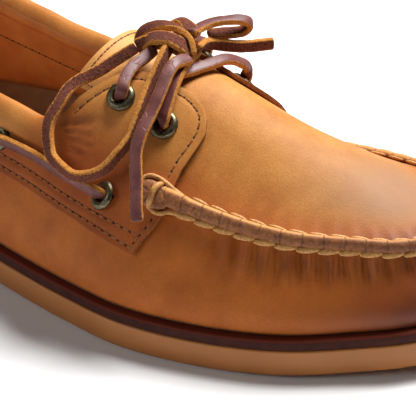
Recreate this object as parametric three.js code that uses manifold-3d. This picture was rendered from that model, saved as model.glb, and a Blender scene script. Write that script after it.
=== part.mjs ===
// Boat shoe, right foot, in millimetres: +X towards the toe, -Y the outer side, +Z up.
// Every piece of the upper is cut from one last function, which reads the section table below.
import * as THREE from 'three';
import { mergeVertices } from 'three/addons/utils/BufferGeometryUtils.js';
import Module from 'manifold-3d';

// Driving dimensions
const LENGTH = 297; // sole, heel to toe tip
const BALL_WIDTH = 108; // sole, across the ball
const COLLAR_RISE = 60; // collar at the back of the heel, above the sole
const GUM = 9.2; // outsole thickness at the forefoot
const HEEL_LIFT = 4; // added to the outsole under the heel
const TOE_SPRING = 4; // rise of the outsole at the toe tip
const MIDSOLE = 3.8;
const MIDSOLE_INSET = 0.5;
const SOLE_EDGE = 3.4; // how far the sole stands out past the upper
const SWELL = 3.2; // how far the wall bellies out over the sole
const WALL = 2; // leather and lining together
const OVERLAY = 1.5; // saddle leather
const GAP = 0.35; // clearance between curved pieces
const INSOLE = 5;
const TONGUE = 3;
const RIDGE_WIDTH = 2.6;
const RIDGE_HEIGHT = 1.8; // of the moccasin seam above the last
const COLLAR_PAD = 3.4; // padding outside the wall
const COLLAR_LINING = 3.2; // padding inside the wall
const COLLAR_CREST = 2.2; // padding above the wall
const EYELET_RADIUS = 5;
const EYELET_BORE = 2.5;
const EYELET_TUBE = 2.9; // outer radius of the tube through the leather
const EYELET_HOLE = 3.4; // punched hole
const EYELET_DOME = 1.3;
const LACE = 2.8; // diameter of the plain round tube that stands for the flat lace

// Last sections from the heel (row 0) to the toe tip (row 13). Lengths along are shares of LENGTH,
// lengths across are shares of BALL_WIDTH, and heights are shares of COLLAR_RISE above the sole.
// edge: outline of the sole. top: collar line at the back and moccasin seam at the front.
// crest: the ridge line of the last. lean: wall off the vertical at its top. pitch: plug off the level.
const COLUMNS = [
  'edgeOut', 'edgeOutSide', 'edgeIn', 'edgeInSide', 'topOut', 'topOutSide', 'topIn', 'topInSide',
  'topOutHigh', 'topInHigh', 'crest', 'crestSide', 'crestHigh', 'lean', 'pitch',
];
const SECTIONS = [
  [0.000, 0.000, 0.000, 0.000, 0.027, 0.000, 0.027, 0.000, 0.985, 0.985, 0.120, 0.000, 1.35, 4, 60],
  [0.016, 0.172, 0.016, 0.168, 0.036, 0.135, 0.036, 0.130, 0.970, 0.970, 0.130, 0.000, 1.35, 4, 60],
  [0.065, 0.294, 0.065, 0.284, 0.080, 0.222, 0.080, 0.210, 0.930, 0.925, 0.160, 0.000, 1.35, 5, 60],
  [0.165, 0.352, 0.165, 0.332, 0.172, 0.280, 0.172, 0.254, 0.865, 0.825, 0.240, 0.000, 1.35, 6, 60],
  [0.295, 0.390, 0.295, 0.336, 0.300, 0.300, 0.300, 0.262, 0.805, 0.745, 0.350, 0.000, 1.32, 8, 60],
  [0.415, 0.438, 0.415, 0.356, 0.415, 0.306, 0.415, 0.266, 0.780, 0.712, 0.455, 0.000, 1.25, 12, 60],
  [0.512, 0.482, 0.512, 0.396, 0.510, 0.308, 0.508, 0.280, 0.760, 0.712, 0.540, 0.000, 1.165, 24, 58],
  [0.600, 0.510, 0.600, 0.444, 0.598, 0.326, 0.595, 0.298, 0.704, 0.668, 0.602, 0.000, 1.085, 38, 50],
  [0.686, 0.516, 0.686, 0.478, 0.684, 0.322, 0.678, 0.300, 0.606, 0.556, 0.676, 0.006, 1.012, 36, 42],
  [0.778, 0.454, 0.778, 0.487, 0.764, 0.284, 0.754, 0.322, 0.536, 0.508, 0.748, 0.022, 0.892, 28, 34],
  [0.860, 0.352, 0.866, 0.455, 0.832, 0.222, 0.828, 0.362, 0.487, 0.496, 0.806, 0.046, 0.777, 24, 30],
  [0.922, 0.218, 0.936, 0.380, 0.886, 0.120, 0.892, 0.350, 0.447, 0.492, 0.846, 0.076, 0.678, 22, 28],
  [0.971, 0.088, 0.984, 0.255, 0.930, 0.020, 0.934, 0.250, 0.413, 0.438, 0.866, 0.096, 0.632, 20, 28],
  [1.000, -0.080, 1.000, 0.080, 0.952, -0.118, 0.952, 0.118, 0.398, 0.398, 0.872, 0.104, 0.622, 20, 28],
].map((row) => Object.fromEntries(COLUMNS.map((name, n) => [name, row[n]])));
const TOE_ROW = SECTIONS.length - 1;
const LOOP = 2 * TOE_ROW; // rows round the whole shoe: out along the outer side, back along the inner

// One row of the loop, as x, y and share of height for each of its three points
function loopRow(k) {
  const n = ((k % LOOP) + LOOP) % LOOP;
  const row = SECTIONS[n <= TOE_ROW ? n : LOOP - n];
  const outer = n <= TOE_ROW;
  return [
    outer ? row.edgeOut : row.edgeIn,
    outer ? -row.edgeOutSide : row.edgeInSide,
    outer ? row.topOut : row.topIn,
    outer ? -row.topOutSide : row.topInSide,
    outer ? row.topOutHigh : row.topInHigh, row.crest, row.crestSide, row.crestHigh, row.lean, row.pitch,
  ];
}

// The loop's rows joined by a Catmull-Rom curve in every column
function between(k) {
  const n = Math.floor(k);
  const f = k - n;
  const rows = [n - 1, n, n + 1, n + 2].map(loopRow);
  return rows[0].map((_, c) => {
    const [a, b, d, e] = rows.map((row) => row[c]);
    return 0.5 * (2 * b + (d - a) * f + (2 * a - 5 * b + 4 * d - e) * f * f
      + (3 * b - a - 3 * d + e) * f * f * f);
  });
}

function smooth(from, to, x) {
  return THREE.MathUtils.smoothstep(x, Math.min(from, to), Math.max(from, to));
}

// Straight lines between the stops of a table of [place, value]
function stops(table, x) {
  const n = table.findIndex(([place]) => place >= x);
  if (n < 0) return table[table.length - 1][1];
  if (n === 0) return table[0][1];
  const [[a, va], [b, vb]] = [table[n - 1], table[n]];
  return va + ((vb - va) * (x - a)) / (b - a);
}

// Underside and top of the sole at a distance from the heel
const SPRING_FROM = 0.74; // shares of LENGTH
const LIFT_FROM = 0.24;
const LIFT_TO = 0.5;
function ground(x) {
  const s = Math.max(0, (x / LENGTH - SPRING_FROM) / (1 - SPRING_FROM));
  return TOE_SPRING * s * s;
}
function gumTop(x) {
  return ground(x) + GUM + HEEL_LIFT * (1 - smooth(LIFT_FROM, LIFT_TO, x / LENGTH));
}
function soleTop(x) {
  return gumTop(x) + MIDSOLE;
}

function edge(k) {
  const [x, y] = between(k);
  return new THREE.Vector3(x * LENGTH, y * BALL_WIDTH, 0);
}
const STEP = 0.02; // of a row, for directions
function outward(k) {
  const along = edge(k + STEP).sub(edge(k - STEP)).normalize();
  return new THREE.Vector3(along.y, -along.x, 0);
}
// The sole's outline drawn in by a distance, at height z
function inside(k, inset, z) {
  const p = edge(k).addScaledVector(outward(k), -inset);
  return new THREE.Vector3(p.x, p.y, z);
}

function bezier(a, b, c, d, t) {
  const s = 1 - t;
  return a.clone().multiplyScalar(s * s * s).addScaledVector(b, 3 * s * s * t)
    .addScaledVector(c, 3 * s * t * t).addScaledVector(d, t * t * t);
}

// The last: k runs round the shoe, and t from the sole (0) over the top line (1) to the crest (2)
const WALL_HANDLE = 0.36; // of the wall's height
const PLUG_HANDLE = 0.36; // of the plug's half width
const CREST_HANDLE = 0.42;
const SPINE_FALL = 0.42; // drop of the crest for each millimetre forward, at the toe
const UP = new THREE.Vector3(0, 0, 1);
function last(k, t) {
  const v = between(k);
  const out = outward(k);
  const foot = inside(k, SOLE_EDGE, 0);
  foot.z = soleTop(foot.x) + GAP;
  const top = new THREE.Vector3(v[2] * LENGTH, v[3] * BALL_WIDTH, 0);
  top.z = soleTop(top.x) + v[4] * COLLAR_RISE;
  const lean = THREE.MathUtils.degToRad(v[8]);
  if (t <= 1) {
    const h = (top.z - foot.z) * WALL_HANDLE;
    const belly = foot.clone().addScaledVector(out, SWELL).addScaledVector(UP, h);
    const under = top.clone().addScaledVector(out, h * Math.tan(lean)).addScaledVector(UP, -h);
    return bezier(foot, belly, under, top, t);
  }
  const crest = new THREE.Vector3(v[5] * LENGTH, v[6] * BALL_WIDTH, 0);
  crest.z = soleTop(crest.x) + v[7] * COLLAR_RISE;
  const inward = crest.clone().sub(top).setZ(0);
  const w = inward.length();
  inward.normalize();
  const rise = w * PLUG_HANDLE * Math.tan(THREE.MathUtils.degToRad(v[9]));
  const most = (crest.z - top.z) * 0.96;
  const start = top.clone().addScaledVector(inward, w * PLUG_HANDLE)
    .addScaledVector(UP, Math.min(rise, most));
  const end = crest.clone().addScaledVector(inward, -w * CREST_HANDLE)
    .addScaledVector(UP, inward.x * SPINE_FALL * w * CREST_HANDLE);
  return bezier(top, start, end, crest, t - 1);
}

function normalAt(k, t, most = 2) {
  const low = Math.max(0, t - STEP);
  const high = Math.min(most, t + STEP);
  const up = last(k, high).sub(last(k, low));
  const along = last(k + STEP, t).sub(last(k - STEP, t));
  return along.cross(up).normalize();
}
// A point off the last by a distance along its normal. most: the share where the surface is taken to end.
function off(k, t, distance, most = 2) {
  return last(k, t).addScaledVector(normalAt(k, t, most), distance);
}

// Geometry from lists of points and triangles, with shared vertices merged and empty triangles dropped
function solidOf(points, faces) {
  const geometry = new THREE.BufferGeometry();
  geometry.setAttribute('position', new THREE.Float32BufferAttribute(points.flatMap((p) => p.toArray()), 3));
  geometry.setIndex(faces.flat());
  const merged = mergeVertices(geometry, 1e-3);
  const index = merged.getIndex().array;
  const kept = [];
  for (let n = 0; n < index.length; n += 3) {
    const [a, b, c] = index.slice(n, n + 3);
    if (a !== b && b !== c && c !== a) kept.push(a, b, c);
  }
  merged.setIndex(kept);
  return merged;
}

// An open sheet of leather made solid between two distances off itself
function thicken(sheet, inner, outer) {
  sheet.computeVertexNormals();
  const place = sheet.getAttribute('position');
  const normal = sheet.getAttribute('normal');
  const index = Array.from(sheet.getIndex().array);
  const count = place.count;
  const points = [];
  for (const distance of [outer, inner]) {
    for (let n = 0; n < count; n++) {
      const p = new THREE.Vector3().fromBufferAttribute(place, n);
      points.push(p.addScaledVector(new THREE.Vector3().fromBufferAttribute(normal, n), distance));
    }
  }
  const faces = [];
  const edges = new Map();
  for (let n = 0; n < index.length; n += 3) {
    const [a, b, c] = index.slice(n, n + 3);
    faces.push([a, b, c], [a + count, c + count, b + count]);
    for (const [p, q] of [[a, b], [b, c], [c, a]]) edges.set(`${p},${q}`, [p, q]);
  }
  for (const [p, q] of edges.values()) {
    if (!edges.has(`${q},${p}`)) faces.push([q, p, p + count], [q, p + count, q + count]);
  }
  return solidOf(points, faces);
}

// A sheet from a grid of points, one list for each column
function sheetOf(columns, closed = false) {
  const rows = columns[0].length;
  const faces = [];
  const spans = closed ? columns.length : columns.length - 1;
  for (let n = 0; n < spans; n++) {
    const m = (n + 1) % columns.length;
    for (let r = 0; r < rows - 1; r++) {
      const [a, b, c, d] = [n * rows + r, m * rows + r, m * rows + r + 1, n * rows + r + 1];
      faces.push([a, b, c], [a, c, d]);
    }
  }
  return solidOf(columns.flat(), faces);
}

// A solid from rings of points, each ring anticlockwise seen from the end, capped unless closed
function ringsOf(rings, closed = false) {
  const size = rings[0].length;
  const faces = [];
  const spans = closed ? rings.length : rings.length - 1;
  for (let n = 0; n < spans; n++) {
    const m = (n + 1) % rings.length;
    for (let r = 0; r < size; r++) {
      const s = (r + 1) % size;
      faces.push([n * size + r, m * size + s, n * size + s], [n * size + r, m * size + r, m * size + s]);
    }
  }
  if (!closed) {
    for (const [n, flip] of [[0, false], [rings.length - 1, true]]) {
      for (const [a, b, c] of capOf(rings[n])) {
        const face = [n * size + a, n * size + b, n * size + c];
        faces.push(flip ? face.reverse() : face);
      }
    }
  }
  return solidOf(rings.flat(), faces);
}

// Triangles across one ring, in its own plane
function capOf(ring) {
  const across = ring[1].clone().sub(ring[0]);
  const normal = new THREE.Vector3();
  for (let n = 0; n < ring.length; n++) {
    const p = ring[n];
    const q = ring[(n + 1) % ring.length];
    normal.add(p.clone().sub(ring[0]).cross(q.clone().sub(ring[0])));
  }
  normal.normalize();
  const x = across.addScaledVector(normal, -across.dot(normal)).normalize();
  const y = normal.clone().cross(x);
  const flat = ring.map((p) => p.clone().sub(ring[0])).map((p) => new THREE.Vector2(p.dot(x), p.dot(y)));
  return THREE.ShapeUtils.triangulateShape(flat, []);
}

const wasm = await Module();
wasm.setup();
function toManifold(geometry) {
  const bare = geometry.clone();
  for (const name of ['normal', 'uv']) bare.deleteAttribute(name);
  const merged = mergeVertices(bare, 1e-4);
  return new wasm.Manifold(new wasm.Mesh({
    numProp: 3,
    vertProperties: new Float32Array(merged.getAttribute('position').array),
    triVerts: new Uint32Array(merged.getIndex().array),
  }));
}
function fromManifold(manifold) {
  const mesh = manifold.getMesh();
  const geometry = new THREE.BufferGeometry();
  geometry.setAttribute('position', new THREE.BufferAttribute(mesh.vertProperties, 3));
  geometry.setIndex(new THREE.BufferAttribute(mesh.triVerts, 1));
  return geometry;
}

// Places round the whole shoe, in rows of the section table
const PER_ROW = 3;
const ROUND = Array.from({ length: LOOP * PER_ROW }, (_, n) => n / PER_ROW);
function sectionOf(k) {
  const n = ((k % LOOP) + LOOP) % LOOP;
  return n <= TOE_ROW ? n : LOOP - n;
}

// Outsole: gum rubber, flat from heel to ball, with a small bevel at the tread
const TREAD_BEVEL = 0.8;
function outsole() {
  const rings = ROUND.map((k) => {
    const x = edge(k).x;
    return [[MIDSOLE_INSET, gumTop(x)], [0, gumTop(x) - MIDSOLE_INSET], [0, ground(x) + TREAD_BEVEL],
      [TREAD_BEVEL, ground(x)]]
      .map(([inset, z]) => inside(k, inset, z));
  });
  return slab(rings);
}

// A closed slab from its outline: each column runs from the top edge to the bottom edge
function slab(columns) {
  const rows = columns[0].length;
  const points = columns.flat();
  const faces = [];
  const count = columns.length;
  for (let n = 0; n < count; n++) {
    const m = (n + 1) % count;
    for (let r = 0; r < rows - 1; r++) {
      const [a, b, c, d] = [n * rows + r, m * rows + r, m * rows + r + 1, n * rows + r + 1];
      faces.push([a, c, b], [a, d, c]);
    }
  }
  // Strips across the top and the bottom join each outer place to the inner place facing it
  for (let n = 0; n < count / 2; n++) {
    const [a, b] = [n, n + 1];
    const [c, d] = [(count - n - 1) % count, (count - n) % count];
    for (const [row, flip] of [[0, false], [rows - 1, true]]) {
      for (const three of [[a, b, c], [a, c, d]]) {
        const face = three.map((m) => m * rows + row);
        faces.push(flip ? face.reverse() : face);
      }
    }
  }
  return solidOf(points, faces);
}

// Midsole: the dark strip between the gum and the upper
const MIDSOLE_LIP = 0.6; // rounding of its top edge
const CEMENT = 0.02; // clearance over the gum
function midsole() {
  return slab(ROUND.map((k) => {
    const x = edge(k).x;
    return [[MIDSOLE_INSET + MIDSOLE_LIP, soleTop(x)], [MIDSOLE_INSET, soleTop(x) - MIDSOLE_LIP],
      [MIDSOLE_INSET, gumTop(x) + CEMENT]]
      .map(([inset, z]) => inside(k, inset, z));
  }));
}

// Insole: the footbed, inside the wall, with its edge turned up a little
const INSOLE_CLEAR = 1.2; // between its edge and the lining
const INSOLE_CUP = 1.4; // rise of its edge
const INSOLE_CUP_WIDTH = 5;
function insole() {
  const inset = SOLE_EDGE + WALL + INSOLE_CLEAR;
  return slab(ROUND.map((k) => {
    const x = edge(k).x;
    return [[inset + INSOLE_CUP_WIDTH, soleTop(x) + INSOLE], [inset, soleTop(x) + INSOLE + INSOLE_CUP],
      [inset, soleTop(x) + GAP]]
      .map(([drawn, z]) => inside(k, drawn, z));
  }));
}

// The share of the last that the upper covers: to the collar line, round the throat, and over the toe
const THROAT = [[0, 1], [6, 1], [6.34, 1.06], [6.9, 1.64], [7.2, 1.76], [7.5, 1.82], [7.66, 2], [TOE_ROW, 2]];
const UPPER_ROWS = 8;
function upper() {
  const columns = ROUND.map((k) => {
    const open = stops(THROAT, sectionOf(k));
    return Array.from({ length: UPPER_ROWS + 1 }, (_, r) => last(k, (open * r) / UPPER_ROWS));
  });
  return thicken(sheetOf(columns, true), -WALL, 0);
}

// Saddle: eyestays and the band under the collar, one overlay from front corner round the heel to the other
const BAND_LOW = [[0, 0.58], [4, 0.56], [7.04, 0.56], [7.4, 0.54], [8.4, 0.49]];
const BAND_HIGH = [[0, 0.865], [6.0, 0.865], [6.06, 0.98], [6.16, 1.01], [6.34, 1.1], [6.44, 1.23],
  [6.6, 1.38], [6.84, 1.6], [7.1, 1.69], [7.5, 1.73], [8.4, 1.75]];
const FRONT_EDGE = [[0, 8.0], [0.1, 8.04], [0.2, 8.12], [0.33, 8.2], [0.55, 8.2], [0.73, 8.28], [0.81, 8.3],
  [0.9, 8.22], [0.95, 8.1], [1, 7.84]];
const SADDLE_FRONT = 8; // section that its front edge is drawn about
const SADDLE_TURN = 0.82; // share of its length where its front edge's shape starts to be felt
const INNER_REACH = 0.2; // sections that it reaches farther forward on the inner side
const COLLAR_FRONT = 6; // section where the collar ends and the eyestays rise
const SADDLE_STOPS = [...Array(COLLAR_FRONT * PER_ROW + 1).keys()].map((n) => n / PER_ROW)
  .concat([6.06, 6.16, 6.34, 6.44, 6.6, 6.84, 7.1, 7.35, 7.6, 7.8, SADDLE_FRONT])
  .map((section) => section / SADDLE_FRONT);
const SADDLE_ROWS = 6;
const CLEAR = 0.2; // added to GAP where two curved sheets cross each other's facets
const SADDLE_GAP = GAP + CLEAR;
function saddlePlace(u, v, reach) {
  const front = stops(FRONT_EDGE, v) + reach;
  const section = u * SADDLE_FRONT + (front - SADDLE_FRONT) * smooth(SADDLE_TURN, 1, u);
  const [low, high] = [stops(BAND_LOW, section), stops(BAND_HIGH, section)];
  return [section, THREE.MathUtils.lerp(low, high, v)];
}
function saddle() {
  const columns = [];
  for (const side of [-1, 1]) {
    const along = side < 0 ? [...SADDLE_STOPS].reverse() : SADDLE_STOPS.slice(1);
    for (const u of along) {
      columns.push(Array.from({ length: SADDLE_ROWS + 1 }, (_, r) => {
        const [section, t] = saddlePlace(u, r / SADDLE_ROWS, side < 0 ? 0 : INNER_REACH);
        return last(side < 0 ? section : LOOP - section, t);
      }));
    }
  }
  return thicken(sheetOf(columns.reverse()), SADDLE_GAP, SADDLE_GAP + OVERLAY);
}

// Collar: a padded roll over the top of the wall, thinning out where the eyestays rise
const COLLAR_LOW = 0.885;
const COLLAR_FOLD = 1.3; // thickness at its lower edges, outside
const COLLAR_HEM = 1; // and inside
const COLLAR_THIN_FROM = 5.1;
const COLLAR_THIN = 0.35; // share of the padding left at its ends
function collar() {
  const ring = (k) => {
    const pad = 1 - (1 - COLLAR_THIN) * smooth(COLLAR_THIN_FROM, COLLAR_FRONT, Math.abs(k));
    const at = (t, distance, rise = 0) => off(k, t, distance, 1).addScaledVector(UP, rise);
    const crest = GAP + (COLLAR_CREST - GAP) * pad;
    return [
      at(COLLAR_LOW, GAP), at(COLLAR_LOW, GAP + COLLAR_FOLD),
      at(0.94, GAP + COLLAR_FOLD + (COLLAR_PAD - COLLAR_FOLD) * pad),
      at(1, 0.9 * COLLAR_PAD * pad, 0.35 * crest), at(1, 0, crest + GAP), at(1, -WALL, crest + GAP),
      at(1, -WALL - 0.8 * COLLAR_LINING * pad, 0.2 * crest), at(0.93, -WALL - GAP - COLLAR_LINING * pad),
      at(0.85, -WALL - GAP - COLLAR_HEM), at(0.85, -WALL - GAP), at(1, -WALL - GAP, GAP), at(1, GAP, GAP),
    ];
  };
  const rings = [];
  for (let n = -COLLAR_FRONT * PER_ROW; n <= COLLAR_FRONT * PER_ROW; n++) rings.push(ring(n / PER_ROW));
  return ringsOf(rings);
}

// Moccasin seam: the raised edges of vamp and plug, round the toe, its ends lying on the saddle
const RIDGE_FROM = 7.82; // section where it starts
const RIDGE_OFF_SADDLE = 8.34;
const RIDGE_DOWN = 8.52; // section where it has come down on the vamp
const RIDGE_CLEAR = 0.1; // added to GAP under it
// Its ring: share of the last, then distance off it and rise, as shares of RIDGE_WIDTH and RIDGE_HEIGHT
const RIDGE_RING = [[0.915, 0, 0], [0.905, 0.23, 0], [0.925, 0.8, 0], [0.985, 1, 0], [1, 0.7, 0.6],
  [1.03, 0.2, 1], [1.065, 0.23, 0.2], [1.06, 0, 0], [0.99, 0.04, 0]];
function mocSeam() {
  const ring = (k) => {
    const section = Math.min(k, LOOP - k - INNER_REACH);
    const over = 1 - smooth(RIDGE_OFF_SADDLE, RIDGE_DOWN, section);
    const base = GAP + RIDGE_CLEAR + (OVERLAY + SADDLE_GAP) * over;
    return RIDGE_RING.map(([t, distance, rise]) => off(k, t, base + distance * RIDGE_WIDTH)
      .addScaledVector(UP, rise * RIDGE_HEIGHT));
  };
  const from = RIDGE_FROM;
  const to = LOOP - RIDGE_FROM - INNER_REACH;
  const count = Math.round((to - from) * PER_ROW);
  return ringsOf(Array.from({ length: count + 1 }, (_, n) => ring(from + ((to - from) * n) / count)));
}

// Tongue: under the throat, rising clear of it and arching more as it rises
// along, high and arch: shares of LENGTH, of COLLAR_RISE, and of BALL_WIDTH for its radius.
// spread: half angle in degrees.
const TONGUE_SECTIONS = [
  { along: 0.690, high: 0.850, arch: 0.315, spread: 26 },
  { along: 0.655, high: 0.895, arch: 0.259, spread: 38 },
  { along: 0.612, high: 0.962, arch: 0.241, spread: 46 },
  { along: 0.580, high: 1.028, arch: 0.222, spread: 54 },
  { along: 0.552, high: 1.085, arch: 0.204, spread: 62 },
  { along: 0.536, high: 1.125, arch: 0.19, spread: 70 },
];
const TONGUE_BACK = 0.02; // the ends lie this share of LENGTH behind the middle
const TONGUE_COLUMNS = 12;
function tongue() {
  const columns = TONGUE_SECTIONS.map(({ along, high, arch, spread }, n) => {
    const lean = n / (TONGUE_SECTIONS.length - 1);
    const radius = arch * BALL_WIDTH;
    return Array.from({ length: TONGUE_COLUMNS + 1 }, (_, c) => {
      const share = (2 * c) / TONGUE_COLUMNS - 1;
      const a = THREE.MathUtils.degToRad(spread * share);
      const x = (along - TONGUE_BACK * lean * share * share) * LENGTH;
      const z = soleTop(along * LENGTH) + high * COLLAR_RISE - radius * (1 - Math.cos(a));
      return new THREE.Vector3(x, radius * Math.sin(a), z);
    });
  });
  return thicken(sheetOf(columns.reverse()), -TONGUE, 0);
}

// Eyelets: section, share of the last and what lies under the flange
const ON_SADDLE = SADDLE_GAP + OVERLAY;
const FLANGE_GAP = 0.25; // flat ring over curved leather
const TUBE_OUT = 0.4; // how far the tube stands out inside
const RING_SLOPE = 0.8; // the ring's crest lies this far inside its rim
const RING_DIP = 0.7; // share of the dome left at the bore
const EYELETS = [
  { name: 'eyelet_top', section: 7.0, t: 1.39 },
  { name: 'eyelet_front', section: 7.72, t: 1.4 },
  { name: 'eyelet_side_1', section: 7.4, t: 0.8 },
  { name: 'eyelet_side_2', section: 5.48, t: 0.775 },
  { name: 'eyelet_side_3', section: 3.4, t: 0.775 },
  { name: 'eyelet_side_4', section: 1.7, t: 0.775 },
];
const SIDES = [['outer', -1], ['inner', 1]];
const EYELET_SIDES = 10;
const PUNCH_SIDES = 8;
function eyeletAxis({ section, t }, side) {
  const k = side < 0 ? section : LOOP - section;
  return { foot: last(k, t), normal: normalAt(k, t) };
}
function onAxis(geometry, { foot, normal }) {
  geometry.rotateX(Math.PI / 2);
  geometry.applyQuaternion(new THREE.Quaternion().setFromUnitVectors(UP, normal));
  return geometry.translate(foot.x, foot.y, foot.z);
}
function eyelet(place, side) {
  const base = ON_SADDLE + FLANGE_GAP;
  const end = -WALL - TUBE_OUT;
  const profile = [
    [EYELET_BORE, end], [EYELET_TUBE, end], [EYELET_TUBE, base], [EYELET_RADIUS, base],
    [EYELET_RADIUS - RING_SLOPE, base + EYELET_DOME], [EYELET_BORE, base + RING_DIP * EYELET_DOME],
    [EYELET_BORE, end],
  ].map(([r, z]) => new THREE.Vector2(r, z));
  return onAxis(new THREE.LatheGeometry(profile, EYELET_SIDES), eyeletAxis(place, side));
}
const PUNCH_REACH = 14;
function punched(geometry) {
  let solid = toManifold(geometry);
  for (const place of EYELETS) {
    for (const [, side] of SIDES) {
      const punch = new THREE.CylinderGeometry(EYELET_HOLE, EYELET_HOLE, PUNCH_REACH, PUNCH_SIDES);
      solid = solid.subtract(toManifold(onAxis(punch, eyeletAxis(place, side))));
    }
  }
  return fromManifold(solid);
}

// A plain tube along a list of points, through a smooth curve
const LACE_SIDES = 8;
const LACE_STEP = 2.4; // step along the tube, in diameters
function tube(points) {
  const path = new THREE.CatmullRomCurve3(points, false, 'centripetal');
  const circle = new THREE.Shape().setFromPoints(Array.from({ length: LACE_SIDES }, (_, n) => {
    const a = (2 * Math.PI * n) / LACE_SIDES;
    return new THREE.Vector2((LACE / 2) * Math.cos(a), (LACE / 2) * Math.sin(a));
  }));
  const steps = Math.max(4, Math.round(path.getLength() / (LACE * LACE_STEP)));
  return new THREE.ExtrudeGeometry(circle, { steps, bevelEnabled: false, extrudePath: path });
}
// A route's points: shares of LENGTH from the heel, of BALL_WIDTH across, of COLLAR_RISE above the sole
function route(list) {
  return list.map(([along, across, high]) => {
    const x = along * LENGTH;
    return new THREE.Vector3(x, across * BALL_WIDTH, soleTop(x) + high * COLLAR_RISE);
  });
}

// The lace's crossing in front: one strand from each front eyelet, joined where they lie on each other
const CROSS_FROM_OUTER = [[0.6633, -0.2222, 0.938], [0.6599, -0.1944, 0.987], [0.6532, -0.1389, 1.063],
  [0.6431, -0.0648, 1.1], [0.6364, 0, 1.108], [0.6296, 0.0556, 1.083]];
const CROSS_FROM_INNER = [[0.6633, 0.1944, 0.9583], [0.6599, 0.1667, 1.0083], [0.6566, 0.1111, 1.06],
  [0.6532, 0.037, 1.073], [0.6465, -0.037, 1.073], [0.6397, -0.0926, 1.068]];
function laceCross() {
  const [over, under] = [CROSS_FROM_OUTER, CROSS_FROM_INNER].map((list) => toManifold(tube(route(list))));
  return fromManifold(over.add(under));
}

// The strands that rise from the top eyelets to the knot
const RISE_OUTER = [[0.6061, -0.2269, 1.027], [0.601, -0.1944, 1.0667], [0.5976, -0.1481, 1.1083],
  [0.5993, -0.0833, 1.1333], [0.6013, -0.013, 1.2]];
const RISE_INNER = [[0.6027, 0.2037, 1.008], [0.601, 0.1667, 1.0583], [0.5993, 0.1204, 1.1167],
  [0.6027, 0.0741, 1.1667], [0.6071, 0.0333, 1.2167]];

// The lace that shows along each side, lying on the saddle between a pair of side eyelets
const SIDE_STRETCHES = [['lace_side_front', 'eyelet_side_1', 'eyelet_side_2'],
  ['lace_side_back', 'eyelet_side_3', 'eyelet_side_4']];
const RIM_CLEAR = 0.4; // added where it passes the ring's rim
const BULGE_CLEAR = 0.3; // and over the saddle's curve
const LACE_OVER_SADDLE = SADDLE_GAP + OVERLAY + GAP + LACE / 2 + BULGE_CLEAR;
const LIFT_BY = [0.1, 0.3]; // shares of the stretch between which it comes down off the ring
const LACE_OVER_EYELET = ON_SADDLE + FLANGE_GAP + EYELET_DOME + GAP + LACE / 2 + RIM_CLEAR;
const SIDE_PLACES = 8;
function sideStretch(from, to, side) {
  const [a, b] = [from, to].map((name) => EYELETS.find((place) => place.name === name));
  return tube(Array.from({ length: SIDE_PLACES + 1 }, (_, n) => {
    const f = n / SIDE_PLACES;
    const section = THREE.MathUtils.lerp(a.section, b.section, f);
    const down = smooth(...LIFT_BY, Math.min(f, 1 - f));
    const over = THREE.MathUtils.lerp(LACE_OVER_EYELET, LACE_OVER_SADDLE, down);
    return off(side < 0 ? section : LOOP - section, THREE.MathUtils.lerp(a.t, b.t, f), over);
  }));
}

// The free lace: knot, two loops and two ends, as a hand ties and drops them
const FREE_LACE = {
  lace_knot: [[0.5724, -0.0278, 1.1167], [0.5724, -0.0185, 1.1833], [0.5825, 0, 1.225],
    [0.5993, 0.0093, 1.25], [0.6195, 0.0093, 1.25], [0.6364, 0, 1.2167], [0.6465, -0.0185, 1.15]],
  lace_loop_outer: [[0.5758, -0.0574, 1.13], [0.5657, -0.1111, 1.0833], [0.5556, -0.1667, 1.0333],
    [0.5421, -0.25, 0.9833], [0.5421, -0.3148, 0.9167], [0.5421, -0.3704, 0.8167], [0.5556, -0.4074, 0.7],
    [0.5758, -0.4287, 0.6667], [0.5993, -0.438, 0.65], [0.6162, -0.4259, 0.6667], [0.633, -0.4074, 0.7167],
    [0.6431, -0.3704, 0.8], [0.6465, -0.3241, 0.8667], [0.6431, -0.2685, 0.9667], [0.6364, -0.2037, 1.05],
    [0.6296, -0.1204, 1.15], [0.6212, -0.0463, 1.2], [0.6185, -0.0111, 1.2083]],
  lace_loop_inner: [[0.6286, 0.0269, 1.235], [0.6263, 0.1111, 1.225], [0.6296, 0.1574, 1.2217],
    [0.6397, 0.2037, 1.2167], [0.6465, 0.2407, 1.2], [0.6498, 0.2593, 1.1667], [0.6431, 0.25, 1.1267],
    [0.6364, 0.2222, 1.1233], [0.6263, 0.1852, 1.1267], [0.6195, 0.1481, 1.1333]],
  lace_end_outer: [[0.6461, -0.037, 1.15], [0.6465, -0.1204, 1.16], [0.6532, -0.2037, 1.0667],
    [0.6566, -0.2593, 0.9833], [0.6599, -0.3148, 0.9167], [0.6633, -0.3519, 0.8333],
    [0.6768, -0.3981, 0.7167], [0.6902, -0.4444, 0.6167], [0.697, -0.463, 0.55]],
  lace_end_inner: [[0.6428, 0.0083, 1.165], [0.633, 0.0833, 1.1367], [0.633, 0.1389, 1.1],
    [0.6498, 0.2037, 1.0667], [0.6633, 0.2593, 1.0583], [0.6734, 0.2963, 1.0583]],
};

const COLOURS = { leather: 0xb5763a, roll: 0xbb7c40, dark: 0x4a2b24, gum: 0xa87440, brass: 0x6f6a52,
  lace: 0x5d3634, lining: 0x7a3f1b };
function piece(name, geometry, colour, roughness = 0.6, metalness = 0) {
  const material = new THREE.MeshStandardMaterial({ color: colour, roughness, metalness });
  const mesh = new THREE.Mesh(geometry, material);
  mesh.name = name;
  return mesh;
}

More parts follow.
